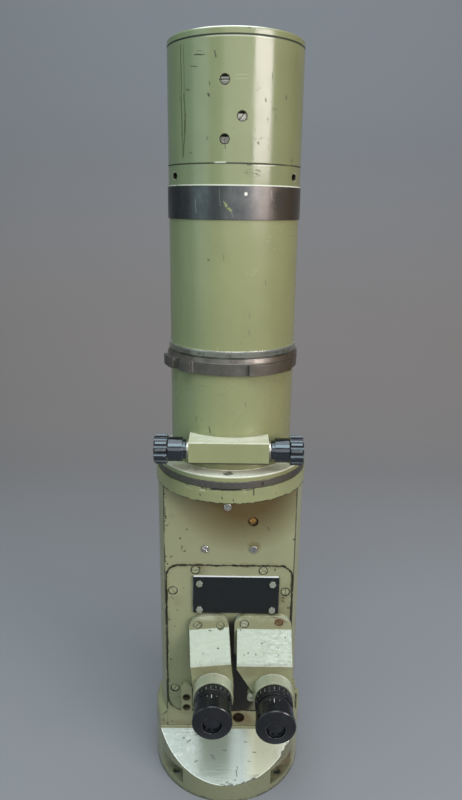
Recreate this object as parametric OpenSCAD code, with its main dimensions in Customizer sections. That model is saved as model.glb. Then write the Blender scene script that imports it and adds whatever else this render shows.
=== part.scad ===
// Bunker periscope: a rotating head tube on a fixed body with two eyepieces.
// Millimetres, +Z up, origin at the centre of the foot's underside.
// The eyepieces face -Y and the entrance window faces +Y.
// An angle called az is measured about Z from -Y towards +X.

/* [Foot] */
// Radius of the round foot
foot_r = 87.3; // [84:0.1:92]
// Height of the foot, up to the seam with the body
foot_h = 59.6; // [52:0.1:70]
// Height of the foot's rim at the very front, under the sloping apron
apron_rim_h = 22.9; // [20:0.1:26]
// Height of the upright strip between the seam and the apron
apron_strip_h = 3.8; // [2:0.1:6]
// How far the upright strip stands in front of the body's flat
apron_ledge = 1.2; // [0.4:0.1:2]
// Thickness of the flange that the mounting bolts go through
foot_flange_h = 8; // [6:0.5:10]
// Height of each wrench pocket above the flange
pocket_h = 21; // [16:0.5:24]
// Radius of the cutter that makes a wrench pocket
pocket_r = 24; // [22:0.5:28]
// How far the pocket reaches in from the foot's rim
pocket_depth = 13.3; // [12:0.1:15]
// Angle of the two front mounting bolts from straight ahead
mount_az = 49; // [46:1:52]
// Distance of each mounting bolt hole from the foot's rim
mount_inset = 8.3; // [7:0.1:10]
// Radius of a mounting bolt hole
mount_hole_r = 4.5; // [3.5:0.1:5]

/* [Body] */
// Radius of the body
body_r = 80; // [78:0.1:83]
// Height of the body above the seam
body_h = 311.1; // [300:0.1:330]
// Distance of the flat front from the tube's axis
face_y = 36; // [34:0.1:38]
// Thickness of the body's round wall
body_wall = 5; // [4:0.1:6]
// Thickness of the body's front wall
face_wall = 10; // [9:0.1:11]
// Height of the straight part of the skirt
skirt_h = 11.4; // [8:0.1:14]
// Height of the cone that narrows the skirt to the body
skirt_cone_h = 11; // [8:0.1:14]
// Width of the inner flanges at the body's two ends
inner_flange_w = 9; // [9:0.1:10]
// Height of the inner flange at the top
top_flange_h = 12; // [8:0.5:16]
// Height of the inner flange at the bottom
bottom_flange_h = 6.4; // [5:0.1:8]

/* [Front cover] */
// Width of the body's flat left showing on each side of the cover
cover_margin = 1.74; // [1:0.01:4]
// Height of the front cover's lower edge
cover_z = 81.6; // [80:0.1:86]
// Height of the front cover
cover_h = 192.8; // [188:0.1:198]
// Thickness of the front cover
cover_t = 6; // [5:0.1:7]
// Radius of the cover's upper corners
cover_top_r = 14; // [10:0.5:18]
// Radius of the cover's lower corners
cover_bottom_r = 18; // [12:0.5:22]
// Gap round the cover, which shows as a dark line
cover_gap = 0.7; // [0.4:0.1:1]
// Half width of the opening behind the cover
cover_opening_half_w = 58; // [56:0.5:59]
// Width of the land that the cover rests on, at top and bottom
cover_land = 11; // [10:0.5:12]
// Width of the blank plate
plate_w = 96; // [90:0.5:100]
// Height of the blank plate
plate_h = 46; // [42:0.5:48]
// Thickness of the blank plate
plate_t = 2.4; // [1.5:0.1:3]
// Sideways place of the blank plate's centre
plate_x = 7.6; // [4:0.1:9]
// Gap between the right eyepiece housing and the blank plate
plate_gap = 1.2; // [0.8:0.1:2]
// Distance of the plate's bolts from its edges
plate_bolt_inset = 7.4; // [6:0.1:9]

/* [Eyepieces] */
// Height of the light's path into the eyepiece housings
beam_z = 183; // [181:0.5:186]
// Sideways place of the left housing's swivel
left_beam_x = -20.5; // [-22:0.1:-19.5]
// Sideways place of the right eyepiece
right_eye_x = 50; // [48:0.1:50]
// Drop from the light's path to the eyepiece's axis
eye_drop = 44; // [43.5:0.1:46]
// Angle that the left housing is swung by, as photographed
left_swing = 6; // [4:0.1:7]
// Half width of the left housing
left_half_w = 22.5; // [22.3:0.1:22.8]
// Height of the left housing's top above the light's path
left_top_h = 30.6; // [29.5:0.1:31]
// Radius of the left housing's two upper corners
left_corner_r = 14; // [13:0.5:17]
// Radius of the left housing's swivel sleeve
swivel_r = 15; // [14:0.1:16]
// Half width of the right housing's near part, right of its eyepiece
right_half_w = 20.9; // [20.5:0.1:21]
// Reach of the right housing's shoulder, left of its eyepiece
shoulder_w = 43.5; // [42:0.1:44]
// Height of the right housing's top above the light's path
right_top_h = 31.8; // [31:0.1:33]
// Radius of the right housing's upper left corner
right_corner_in_r = 12; // [8:0.5:15]
// Radius of the right housing's upper right corner
right_corner_out_r = 15; // [8:0.5:18]
// Thickness of the flange on each housing
housing_flange_t = 6; // [5:0.1:6.5]
// How far the upright front of each housing stands out from the cover
housing_depth = 34; // [33.5:0.1:36]
// Height of the sloping face's upper edge above the light's path
slope_top_h = 15; // [14.5:0.1:15]
// Radius of the round boss that carries an eyepiece
boss_r = 22.2; // [21.8:0.1:22.2]
// Length of the round boss
boss_len = 14.5; // [13:0.1:16]
// Radius of the sliding eyepiece tube
eye_tube_r = 18.6; // [18:0.1:18.8]
// Length of the dioptre ring
dioptre_ring_len = 13.5; // [12:0.1:15]
// Outer radius of the dioptre ring
dioptre_ring_r = 20.6; // [20.2:0.1:21]
// Length of the eyecup
eyecup_len = 20.2; // [18:0.1:22]
// Outer radius of the eyecup
eyecup_r = 21.1; // [20.6:0.1:21.6]
// Radius of the eyecup's opening at the lens
eyecup_bore_r = 10.4; // [9.5:0.1:11]
// Length of the eyecup's wide rim
eyecup_rim_len = 7.4; // [5:0.1:9]
// Depth from the eyecup's rim to the lens
eyecup_depth = 2.2; // [1.6:0.1:4]
// How far the left eyepiece is screwed out, as photographed
left_focus_out = 1.5; // [1.3:0.1:3]
// How far the right eyepiece is screwed out, as photographed
right_focus_out = 6.3; // [5:0.1:6.5]

/* [Azimuth drive] */
// Radius of the lower disc
base_disc_r = 81.5; // [80.5:0.1:84]
// Height of the lower disc
base_disc_h = 15; // [13:0.1:18]
// Radius of the neck that the tube turns on
neck_r = 55; // [54.5:0.1:55.2]
// Radius of the neck's bore
neck_bore_r = 40; // [36:0.5:41]
// Thickness of the bronze bush on the neck
bush_t = 3.4; // [3:0.1:3.5]
// Height of the bare ring that carries the scale
scale_ring_h = 7; // [5:0.1:9]
// Radius of the bare ring that carries the scale
scale_ring_r = 80.5; // [80:0.1:82]
// Height of the lower tube's round flange
flange_h = 5.9; // [5:0.1:8]
// Radius of the lower tube's round flange
flange_r = 80; // [79:0.1:81]
// Number of teeth on the worm wheel
wheel_teeth = 128;
// Number of starts on the worm
worm_starts = 2;
// Module of the worm and wheel
worm_module = 0.94; // [0.935:0.001:0.945]
// Thickness of the worm wheel
wheel_t = 3.2; // [2.6:0.1:3.4]
// Height of the worm's axis above the flange
worm_rise = 24.6; // [23.5:0.1:27]
// Distance of the worm's axis from the tube's axis
worm_y = 69; // [68.9:0.05:69.1]
// Length of the worm's thread
worm_len = 18; // [14:0.5:20]
// Radius of the worm's shaft
shaft_r = 4; // [3.5:0.1:4.5]
// Half length of the block round the worm
block_half_w = 39.4; // [37:0.1:42]
// Height of the block round the worm
block_h = 22; // [21.4:0.1:24]
// Distance of the block's front from the worm's axis
block_front = 11.4; // [11:0.1:13]
// Radius of a knob's fluted head
knob_r = 14.7; // [13.5:0.1:16]
// Width of a knob's fluted head
knob_head_w = 13.8; // [12:0.1:16]
// Number of flutes on a knob
knob_flutes = 12; // [8:1:16]
// Radius of a knob's smooth collar
collar_r = 12.2; // [11:0.1:13]
// Width of a knob's smooth collar
knob_collar_w = 17; // [14:0.1:19]

/* [Tube] */
// Radius of the lower and upper tubes
tube_r = 64; // [63.9:0.1:64.2]
// Thickness of the lower tube's wall
lower_tube_wall = 2.5; // [2.4:0.1:2.6]
// Length of the lower tube above its flange
lower_tube_h = 115.3; // [110:0.1:125]
// Radius of the upper tube's flange
upper_flange_r = 65.8; // [65.2:0.1:67]
// Height of the upper tube's flange
upper_flange_h = 7.2; // [6:0.1:9]
// Length of the upper tube above its flange
upper_tube_h = 121.2; // [115:0.1:140]
// Thickness of the upper tube's wall under the band and collar
spigot_t = 3; // [2.8:0.1:3.2]
// Radius of the coupling ring between its lobes
coupling_r = 67.5; // [67:0.1:69]
// Radius of the coupling ring's lobes
lobe_r = 72; // [70.5:0.1:75]
// Height of the coupling ring's full rim
coupling_h = 11.7; // [10:0.1:13]
// Height of the cone on top of the coupling ring
coupling_cone_h = 4.4; // [3:0.1:5]
// Angle that one lobe covers
lobe_angle = 42; // [36:1:46]

/* [Head] */
// Radius of the head and its collar
head_r = 64.3; // [64.1:0.1:64.8]
// Thickness of the head's wall
head_wall = 4; // [3.8:0.1:4.2]
// Height of the bare sealing band
band_h = 29.2; // [24:0.1:34]
// Radius of the bare sealing band
band_r = 65; // [64.6:0.1:66]
// Height of the head's collar
collar_h = 18.9; // [16:0.1:22]
// Height of the head between its two seams
head_h = 102.5; // [98:0.1:115]
// Height of the lid
lid_h = 6.2; // [5:0.1:8]
// Width of the entrance window's clear opening
window_w = 44; // [38:0.5:46]
// Height of the entrance window's clear opening
window_h = 54; // [48:0.5:56]
// Half width of the head prism
head_prism_half = 20; // [17:0.5:21]

/* [Fits and screws] */
// Radial clearance of a running fit
run_gap = 0.05; // [0.03:0.01:0.1]
// Radial clearance of a fixed fit
fixed_gap = 0.1; // [0.05:0.01:0.15]
// Gap between faces that turn past each other
face_gap = 0.3; // [0.25:0.05:0.5]
// Radius of a cover screw's head
cover_screw_r = 4.4; // [3.6:0.1:4.8]
// Radius of an inner cap screw's head
cap_screw_r = 4.1; // [3.6:0.1:4.2]
// Radius of a bright round-headed screw
round_screw_r = 4.2; // [3.4:0.1:4.6]

/* [Hidden] */
$fn = 96;

// Colours, as seen
green = [0.62, 0.65, 0.47];
bare = [0.45, 0.46, 0.46];
gunmetal = [0.33, 0.34, 0.34];
steel = [0.72, 0.72, 0.70];
bronze = [0.72, 0.56, 0.33];
black = [0.09, 0.09, 0.10];
glass = [0.75, 0.85, 0.88];

// Heights of the seams, from the foot up
seam_z = foot_h;
disc_z = seam_z + body_h;
disc_top_z = disc_z + base_disc_h;
ring_z = disc_top_z + face_gap;
flange_z = ring_z + scale_ring_h;
tube_z = flange_z + flange_h;
joint_z = tube_z + lower_tube_h;
upper_z = joint_z + upper_flange_h;
band_z = upper_z + upper_tube_h;
collar_z = band_z + band_h;
head_z = collar_z + collar_h;
lid_z = head_z + head_h;
top_z = lid_z + lid_h;

// The body's cavity and its screws
mount_circle_r = foot_r - mount_inset;
flat_half_w = sqrt(body_r * body_r - face_y * face_y);
cavity_r = body_r - body_wall;
inner_flange_r = cavity_r - inner_flange_w;
face_back = face_y - face_wall;
cap_circle_r = inner_flange_r + inner_flange_w / 2;
cap_az = [-160, -120, -80, 80, 120, 160];
cap_head_h = 5;
cap_shank_r = 2.5;
cap_depth = 9;

// The front cover and what is on it
cover_w = 2 * (flat_half_w - cover_margin);
cover_back = face_y - cover_t;
cover_screw_spots = [
    [-0.27 * cover_w, cover_z + cover_h - 6], [0.27 * cover_w, cover_z + cover_h - 6],
    [-(cover_w / 2 - 7), cover_z + cover_h - 32], [cover_w / 2 - 7, cover_z + cover_h - 32],
    [-(cover_w / 2 - 8), cover_z + 31], [cover_w / 2 - 8, cover_z + 31],
];
cover_head_h = 2.6;
cover_recess = 3;
plate_z = beam_z + right_top_h + plate_gap;
plate_spots = [for (sx = [-1, 1]) for (sz = [0, 1])
    [plate_x + sx * (plate_w / 2 - plate_bolt_inset),
     plate_z + (sz == 0 ? plate_bolt_inset - 2.6 : plate_h - plate_bolt_inset - 1)]];
face_spots = [
    [-2.7, seam_z + 286, 0], [-26.5, seam_z + 235.5, 40], [26.5, seam_z + 235.5, 80],
];
recess_spots = [[25.2, seam_z + 268.7, 5.4], [13.2, seam_z + 11.4, 6.4]];
recess_depth = 3.4;

// The lamp socket and the side bracket
lamp_x = -48;
lamp_half_w = 6.2;
lamp_low_z = cover_z + 2.4;
lamp_top_z = cover_z + 40.4;
lamp_t = 6;
lamp_hole_r = 4.2;
lamp_hole_deep = 5.2;
bracket_z = cover_z + 2.6;
bracket_x = cover_w / 2 + cover_gap;
bracket_out = body_r + 3;
bracket_t = 5;
bracket_side = 17;
bracket_low_h = 26;
bracket_top_h = 14;

// The two eyepiece housings
flange_front = face_y + housing_flange_t;
housing_front = face_y + housing_depth;
boss_front = housing_front + boss_len;
eye_z = beam_z - eye_drop;
clamp_x = right_eye_x - 24.3;
clamp_z = eye_z - 8.4;
clamp_ear_r = 3.7;
prism_half = 10;
prism_y = flange_front + prism_half + 0.6;
chamber_gap = 0.2;
stop_y = prism_y + prism_half + 3.2;
swing_gap = face_gap;
right_edge = right_half_w;
right_flange_lip = 3;

// The eyepieces, measured from the boss's front
ring_gap = 0.3;
eye_wall = 2.6;
lens_r = 13;
lens_t = 5.4;
lens_dome_r = 44;
cup_nose = 3;
focus_least = 0.5;

// The optics behind the cover
small_half = 7.5;
shelf_top_z = beam_z - small_half - fixed_gap;
shelf_t = 4;
shelf_h = 50;
shelf_left = left_beam_x - 25.5;
shelf_right = right_eye_x + 7;
tube_lens_r = 34;
tube_lens_dome_r = 230;
shelf_back = 12;
second_y = 17;
ring_nut_r = swivel_r + 5;
ring_nut_t = 3;

// The azimuth drive
axle_z = tube_z + worm_rise;
lower_tube_ri = tube_r - lower_tube_wall;
bush_ro = neck_r + run_gap + bush_t;
bush_top_z = tube_z + 3;
neck_top_z = axle_z + 9.6;
wheel_pitch_r = worm_module * wheel_teeth / 2;
worm_pitch_r = worm_y - wheel_pitch_r;
wheel_tip_r = wheel_pitch_r + worm_module;
wheel_root_r = wheel_pitch_r - 1.25 * worm_module;
worm_tip_r = worm_pitch_r + worm_module;
worm_root_r = worm_pitch_r - 1.25 * worm_module;
tooth_pitch = PI * worm_module;
worm_lead = tooth_pitch * worm_starts;
backlash = 0.16;
pressure_angle = 20;
wheel_key_r = neck_r + fixed_gap;
block_x = -2.2;
block_back_r = tube_r + fixed_gap;
worm_clear = 0.32;
bush_len = 12;
bush_r = 7;
bush_flange_r = 9.6;
bush_flange_t = 1.9;
knob_gap = 2.9;
ball_r = 4;
ball_circle_r = 47.5;
ball_count = 12;
ball_z = neck_top_z + 3.4;
cage_h = 3;
race_z = ball_z + 3.4;
race_h = 8;

// Tube and head
coupling_z = joint_z - 0.3 - coupling_cone_h - coupling_h;
lobe_az = [34.5, 124.5, -145.5, -55.5];
lobe_fillet = 2.2;
lobe_fillet_angle = asin(lobe_fillet / (coupling_r + lobe_fillet));
notch_az = -50.3;
notch_angle = 9.3;
rib_z = coupling_z + 3;
rib_h = 3;
upper_tube_ri = tube_r - 6;
spigot_ro = upper_tube_ri + spigot_t;
joint_spigot_h = 10;
cell_z = [upper_z + 24, upper_z + 98];
cell_h = 16;
head_ri = head_r - head_wall;
window_z = head_z + 50;
window_y = 58;
prism_z = head_z + 50;
head_screw_spots = [
    [-8.4, head_z + 67.5, 0], [5.4, head_z + 38.6, 50], [-8.2, head_z + 19.9, 80],
];
collar_screw_az = [-58.6, 58.6, -160, 160];

function on_az(az, r) = [r * sin(az), -r * cos(az)];

// Helpers
module ring(ro, ri, h) {
    difference() {
        cylinder(r = ro, h = h);
        translate([0, 0, -1]) cylinder(r = ri, h = h + 2);
    }
}

// Keeps what lies behind the plane y = -front
module behind(front) {
    intersection() {
        children();
        translate([-150, -front, -10]) cube([300, 300, 900]);
    }
}

// Sets a flat X-Z outline upright, from y = -back forwards by t
module upright(back, t) {
    translate([0, -back, 0]) rotate([90, 0, 0]) linear_extrude(t) children();
}

// Sets a Y-Z outline across, from x = x0 by w
module across(x0, w) {
    translate([x0, 0, 0]) rotate([90, 0, 90]) linear_extrude(w) children();
}

// A rod along Y at x and z, from y = -back forwards by t
module y_rod(x, z, r, back, t) {
    translate([x, -back, z]) rotate([90, 0, 0]) cylinder(r = r, h = t);
}

// A rod along X on the worm's axis
module x_rod(x0, r, w) {
    translate([x0, -worm_y, axle_z]) rotate([0, 90, 0]) cylinder(r = r, h = w);
}

// Rectangle with round corners, standing on z = 0
module round_rect(w, h, rt, rb) {
    translate([-w / 2 + rb, 0]) square([w - 2 * rb, h / 2]);
    translate([-w / 2, rb]) square([w, h - rb - rt]);
    translate([-w / 2 + rt, h / 2]) square([w - 2 * rt, h / 2]);
    for (s = [-1, 1]) {
        translate([s * (w / 2 - rb), rb]) circle(r = rb);
        translate([s * (w / 2 - rt), h - rt]) circle(r = rt);
    }
}

// Slotted screw along Y: its head's front is at y = -front
module slotted(x, z, front, hr, hh, sr, len, turn) {
    difference() {
        union() {
            y_rod(x, z, hr - 0.4, front - 0.4, 0.4);
            y_rod(x, z, hr, front - hh, hh - 0.4);
            y_rod(x, z, sr, front - hh - len, len + 0.01);
        }
        translate([x, -front, z]) rotate([0, turn, 0])
            translate([-hr - 1, -0.1, -hr / 9]) cube([2 * hr + 2, 0.9, hr / 4.5]);
    }
}

// Cap screw along Z: its shank runs from z = 0 up, its head hangs below
module cap_screw(shank) {
    translate([0, 0, -1]) cylinder(r = cap_shank_r, h = shank + 1);
    difference() {
        translate([0, 0, -cap_head_h]) cylinder(r = cap_screw_r, h = cap_head_h);
        translate([0, 0, -cap_head_h - 1]) cylinder(r = 2, h = 3.5, $fn = 6);
    }
}

// Foot
module foot() {
    apron_y = face_y + apron_ledge;
    apron_z = foot_h - apron_strip_h;
    fall = (apron_z - apron_rim_h) / (foot_r - apron_y);
    color(green) difference() {
        intersection() {
            cylinder(r = foot_r, h = foot_h, $fn = 128);
            across(-foot_r - 2, 2 * foot_r + 4) polygon([[foot_r + 2, 0], [-foot_r - 2, 0],
                [-foot_r - 2, apron_rim_h - 2 * fall], [-apron_y, apron_z],
                [-apron_y, foot_h], [foot_r + 2, foot_h]]);
        }
        behind(face_back) translate([0, 0, foot_flange_h])
            cylinder(r = inner_flange_r, h = foot_h);
        for (az = [-mount_az, mount_az, mount_az - 180, 180 - mount_az]) {
            translate(concat(on_az(az, foot_r - pocket_depth + pocket_r), foot_flange_h))
                cylinder(r = pocket_r, h = pocket_h);
            translate(concat(on_az(az, mount_circle_r), -1))
                cylinder(r = mount_hole_r, h = foot_flange_h + 2);
        }
        for (az = cap_az) translate(concat(on_az(az, cap_circle_r), foot_h - cap_depth - 1))
            cylinder(r = cap_shank_r + fixed_gap, h = cap_depth + 2);
    }
}

// Body housing
module body_shape() {
    edge = skirt_cone_h;
    step = foot_r - body_r;
    rotate_extrude($fn = 128) polygon(concat(
        [[0, seam_z], [foot_r, seam_z], [foot_r, seam_z + skirt_h]],
        [for (a = [15 : 15 : 75]) [body_r + step * cos(a), seam_z + skirt_h + edge * sin(a)]],
        [[body_r, seam_z + skirt_h + edge], [body_r, disc_z], [0, disc_z]]));
}
module body_housing() {
    color(green) difference() {
        behind(face_y) body_shape();
        behind(face_back) translate([0, 0, seam_z + bottom_flange_h])
            cylinder(r = cavity_r, h = body_h - bottom_flange_h - top_flange_h);
        behind(face_back) translate([0, 0, seam_z - 1])
            cylinder(r = inner_flange_r, h = body_h + 2);
        translate([0, 0, cover_z - cover_gap]) upright(cover_back, cover_t + 1)
            round_rect(cover_w + 2 * cover_gap, cover_h + 2 * cover_gap,
                cover_top_r + cover_gap, cover_bottom_r + cover_gap);
        translate([-cover_opening_half_w, -face_y, cover_z + cover_land])
            cube([2 * cover_opening_half_w, face_wall + 2, cover_h - 2 * cover_land]);
        for (p = cover_screw_spots) y_rod(p[0], p[1], 2 + fixed_gap, face_back - 1, face_wall);
        for (p = face_spots) y_rod(p[0], p[1], 2.2 + fixed_gap, face_back - 1, face_wall + 2);
        for (p = recess_spots) {
            y_rod(p[0], p[1], p[2], face_y - recess_depth, recess_depth + 1);
            y_rod(p[0], p[1], 2.2 + fixed_gap, face_y - 8, 8);
        }
        for (az = cap_az) {
            translate(concat(on_az(az, cap_circle_r), disc_z - top_flange_h - 1))
                cylinder(r = cap_shank_r + fixed_gap, h = top_flange_h + 2);
            translate(concat(on_az(az, cap_circle_r), seam_z - 1))
                cylinder(r = cap_shank_r + fixed_gap, h = bottom_flange_h + 2);
        }
        for (z = [bracket_z + 6, bracket_z + 20]) translate([0, 0, z]) rotate([0, 0, 69])
            translate([0, -face_y - 60, 0]) rotate([-90, 0, 0])
                cylinder(r = 1.6 + fixed_gap, h = 60);
    }
}
module cap_screws() {
    color(steel) for (az = cap_az) {
        translate(concat(on_az(az, cap_circle_r), disc_z - top_flange_h))
            cap_screw(top_flange_h + cap_depth - 1);
        translate(concat(on_az(az, cap_circle_r), seam_z + bottom_flange_h)) mirror([0, 0, 1])
            cap_screw(bottom_flange_h + cap_depth - 1);
    }
}

// Front cover and its fittings
module front_cover() {
    color(green) difference() {
        translate([0, 0, cover_z]) upright(cover_back, cover_t)
            round_rect(cover_w, cover_h, cover_top_r, cover_bottom_r);
        y_rod(left_beam_x, beam_z, swivel_r + run_gap, cover_back - 1, cover_t + 2);
        y_rod(right_eye_x, beam_z, 9, cover_back - 1, cover_t + 2);
        for (p = cover_screw_spots) {
            y_rod(p[0], p[1], cover_screw_r + 0.5, face_y - cover_recess, cover_recess + 1);
            y_rod(p[0], p[1], 2 + fixed_gap, cover_back - 1, cover_t + 2);
        }
        for (p = plate_spots) y_rod(p[0], p[1], 1.6 + fixed_gap, cover_back - 1, cover_t + 2);
        for (p = right_housing_spots())
            y_rod(p[0], p[1], 2 + fixed_gap, cover_back - 1, cover_t + 2);
        for (z = [-6, 6]) y_rod(lamp_x, (lamp_low_z + lamp_top_z) / 2 + z * 2.6, 1.6 + fixed_gap,
            cover_back + 2, cover_t);
    }
}
module cover_screws() {
    color(steel) for (i = [0 : 5]) slotted(cover_screw_spots[i][0], cover_screw_spots[i][1],
        face_y - 0.3, cover_screw_r, cover_head_h, 2, 6.6, 30 * i);
}
module blank_plate() {
    color(black) difference() {
        translate([plate_x, 0, plate_z]) upright(face_y, plate_t) round_rect(plate_w, plate_h, 2, 2);
        for (p = plate_spots) y_rod(p[0], p[1], 1.6 + fixed_gap, face_y - 1, plate_t + 2);
    }
}
module plate_bolts() {
    color(steel) for (i = [0 : 3]) {
        translate([plate_spots[i][0], -face_y - plate_t, plate_spots[i][1]])
            rotate([90, 0, 0]) rotate([0, 0, 17 * i]) cylinder(r = 3.9, h = 2.4, $fn = 6);
        y_rod(plate_spots[i][0], plate_spots[i][1], 1.6, cover_back + 1, face_y + plate_t
            - cover_back - 0.99);
    }
}
module face_screws() {
    color(steel) for (p = face_spots)
        slotted(p[0], p[1], face_y + 1.8, round_screw_r, 1.8, 2.2, 8, p[2]);
}
module recessed_screws() {
    color(bronze) for (p = recess_spots) slotted(p[0], p[1],
        face_y - recess_depth + 1.8, p[2] - 1, 1.8, 2.2, 4, 35);
}
module lamp_socket() {
    h = lamp_top_z - lamp_low_z;
    color(green) difference() {
        translate([lamp_x, 0, lamp_low_z]) upright(face_y, lamp_t)
            round_rect(2 * lamp_half_w, h, lamp_half_w - 0.1, 2);
        for (z = [h - 18, h - 32]) y_rod(lamp_x, lamp_low_z + z, lamp_hole_r,
            face_y + lamp_t - lamp_hole_deep, lamp_hole_deep + 1);
    }
}
module side_bracket() {
    color(green) difference() {
        union() {
            translate([bracket_x, -face_y, bracket_z])
                cube([bracket_out - bracket_x, bracket_t, bracket_low_h]);
            translate([bracket_x, -face_y, bracket_z + bracket_low_h - 0.01])
                cube([bracket_out - 5 - bracket_x, bracket_t, bracket_top_h]);
            intersection() {
                translate([0, 0, bracket_z]) ring(bracket_out, body_r - 1, bracket_low_h);
                translate([bracket_x, -face_y, bracket_z])
                    cube([bracket_out - bracket_x + 1, bracket_side, bracket_low_h]);
            }
        }
        translate([0, 0, bracket_z - 1]) cylinder(r = body_r + fixed_gap, h = 60, $fn = 128);
        translate([bracket_out - 4, -face_y - 1, bracket_z - 1])
            cube([2, 3, bracket_low_h - 3]);
        for (z = [bracket_z + 6, bracket_z + 20]) translate([0, 0, z]) rotate([0, 0, 69])
            translate([0, -body_r - 10, 0]) rotate([-90, 0, 0])
                cylinder(r = 1.6 + fixed_gap, h = 30);
    }
}

// Prism housings
function right_housing_spots() = [
    [right_eye_x - 32.4, beam_z + 21.2], [right_eye_x + 6.5, beam_z + 23.5],
];
module right_outline(lip) {
    px = right_eye_x - shoulder_w + lip;
    pz = beam_z - 17;
    d = norm([right_eye_x - px, pz - eye_z]);
    r = right_half_w;
    ri = right_corner_in_r;
    ro = right_corner_out_r;
    a = atan2(pz - eye_z, right_eye_x - px) + asin(r / d);
    t = sqrt(d * d - r * r);
    top = beam_z + right_top_h;
    polygon([[right_eye_x + r, eye_z], [right_eye_x + r, top - ro], [px, top - ro], [px, pz],
        [px + t * cos(a), pz - t * sin(a)], [right_eye_x, eye_z]]);
    translate([px, top - ro - 0.01]) square([ri + 1, ro - ri + 0.01]);
    translate([px + ri, top - ro - 0.01])
        square([right_eye_x + r - ro - px - ri, ro + 0.01]);
    translate([px + ri, top - ri]) circle(r = ri);
    translate([right_eye_x + r - ro, top - ro]) circle(r = ro);
    translate([right_eye_x, eye_z]) circle(r = r);
}
// Upright section of a housing, measured from the beam's height
module housing_section() {
    low = -eye_drop - 2 * right_half_w;
    high = 2 * right_top_h;
    polygon([[-face_y + 1, low], [-face_y + 1, high], [-flange_front, high],
        [-flange_front, slope_top_h], [-housing_front, slope_top_h - slope_run()],
        [-housing_front, low]]);
}
function slope_run() = housing_front - flange_front;
// Chamber for two prisms, one above the other
module chamber(x, z, drop) {
    b = prism_y - prism_half - chamber_gap;
    f = prism_y + prism_half + chamber_gap;
    w = prism_half + chamber_gap;
    translate([0, 0, z]) across(x - w, 2 * w) polygon([[-b, w], [-b, -drop - w],
        [-f, -drop - w], [-f, -w]]);
}
module housing_cuts(x, z, drop) {
    chamber(x, z, drop);
    y_rod(x, z - drop, 12, prism_y, stop_y - prism_y + 1);
    y_rod(x, z - drop, eye_tube_r + run_gap, stop_y, 60);
    y_rod(x, z, 9, face_y - 20, prism_y - face_y + 12);
    translate([x - 7, -prism_y, z - drop]) cube([14, prism_y - face_y + 20, 26]);
}
module right_prism_housing() {
    color(green) difference() {
        union() {
            upright(face_y, housing_flange_t) right_outline(0);
            intersection() {
                upright(face_y, housing_depth) right_outline(right_flange_lip);
                translate([0, 0, beam_z]) across(0, 100) housing_section();
            }
            y_rod(right_eye_x, eye_z, boss_r, housing_front - 4, boss_len + 4);
            y_rod(clamp_x, clamp_z, clamp_ear_r, housing_front - 9, 9);
        }
        housing_cuts(right_eye_x, beam_z, eye_drop);
        y_rod(clamp_x, clamp_z, 2 + fixed_gap, housing_front - 6, 9);
        y_rod(clamp_x, clamp_z, round_screw_r + fixed_gap, housing_front, 4);
        for (p = right_housing_spots()) {
            y_rod(p[0], p[1], 2 + fixed_gap, face_y - 1, 20);
            y_rod(p[0], p[1], cover_screw_r + 0.4, flange_front - 2.6, 5);
        }
    }
}
module right_housing_screws() {
    color(steel) {
        for (p = right_housing_spots()) slotted(p[0], p[1], flange_front - 0.4,
            cover_screw_r, 2.2, 2, 8, p[0]);
        slotted(clamp_x, clamp_z, housing_front + 3, round_screw_r, 3, 2, 5, 15);
    }
}
module prism(x, y, z, half, first) {
    translate([0, 0, z]) across(x - half + 0.05, 2 * half - 0.1) polygon(first ?
        [[-y + half, half], [-y + half, -half], [-y - half, -half]] :
        [[-y - half, half], [-y + half, half], [-y - half, -half]]);
}
module right_prisms() {
    color(glass) {
        prism(right_eye_x, prism_y, beam_z, prism_half, true);
        prism(right_eye_x, prism_y, eye_z, prism_half, false);
    }
}
// Stands the left housing on its swivel, at the angle photographed
module left_place() {
    translate([left_beam_x, 0, beam_z]) rotate([0, -left_swing, 0]) children();
}
left_housing_spots = [[-12.6, 20.6], [13, 17.6]];
module left_outline() {
    translate([0, -eye_drop]) round_rect(2 * left_half_w, eye_drop + left_top_h,
        left_corner_r, 0.5);
    translate([0, -eye_drop]) circle(r = left_half_w);
}
module left_prism_housing() {
    color(green) left_place() difference() {
        union() {
            upright(face_y + swing_gap, housing_flange_t - swing_gap) left_outline();
            intersection() {
                upright(face_y + swing_gap, housing_depth - swing_gap) left_outline();
                across(-50, 100) housing_section();
            }
            y_rod(0, -eye_drop, boss_r, housing_front - 4, boss_len + 4);
            y_rod(0, 0, swivel_r, face_back - 0.2, flange_front - face_back);
        }
        housing_cuts(0, 0, eye_drop);
        for (p = left_housing_spots) {
            y_rod(p[0], p[1], 2 + fixed_gap, face_y - 1, 20);
            y_rod(p[0], p[1], cover_screw_r + 0.4, flange_front - 2.6, 5);
        }
    }
}
module left_housing_screws() {
    color(steel) left_place() for (p = left_housing_spots) slotted(p[0], p[1],
        flange_front - 0.4, cover_screw_r, 2.2, 2, 3, 3 * p[0]);
}
module left_prisms() {
    color(glass) left_place() {
        prism(0, prism_y, 0, prism_half, true);
        prism(0, prism_y, -eye_drop, prism_half, false);
    }
}
module swivel_ring() {
    color(steel) left_place() difference() {
        y_rod(0, 0, ring_nut_r, cover_back - 0.3 - ring_nut_t, ring_nut_t);
        y_rod(0, 0, swivel_r + fixed_gap, cover_back - 9, 12);
        for (a = [0 : 90 : 270]) rotate([0, a, 0]) translate([ring_nut_r - 2.4, -cover_back, -2])
            cube([6, 10, 4]);
    }
}

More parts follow.
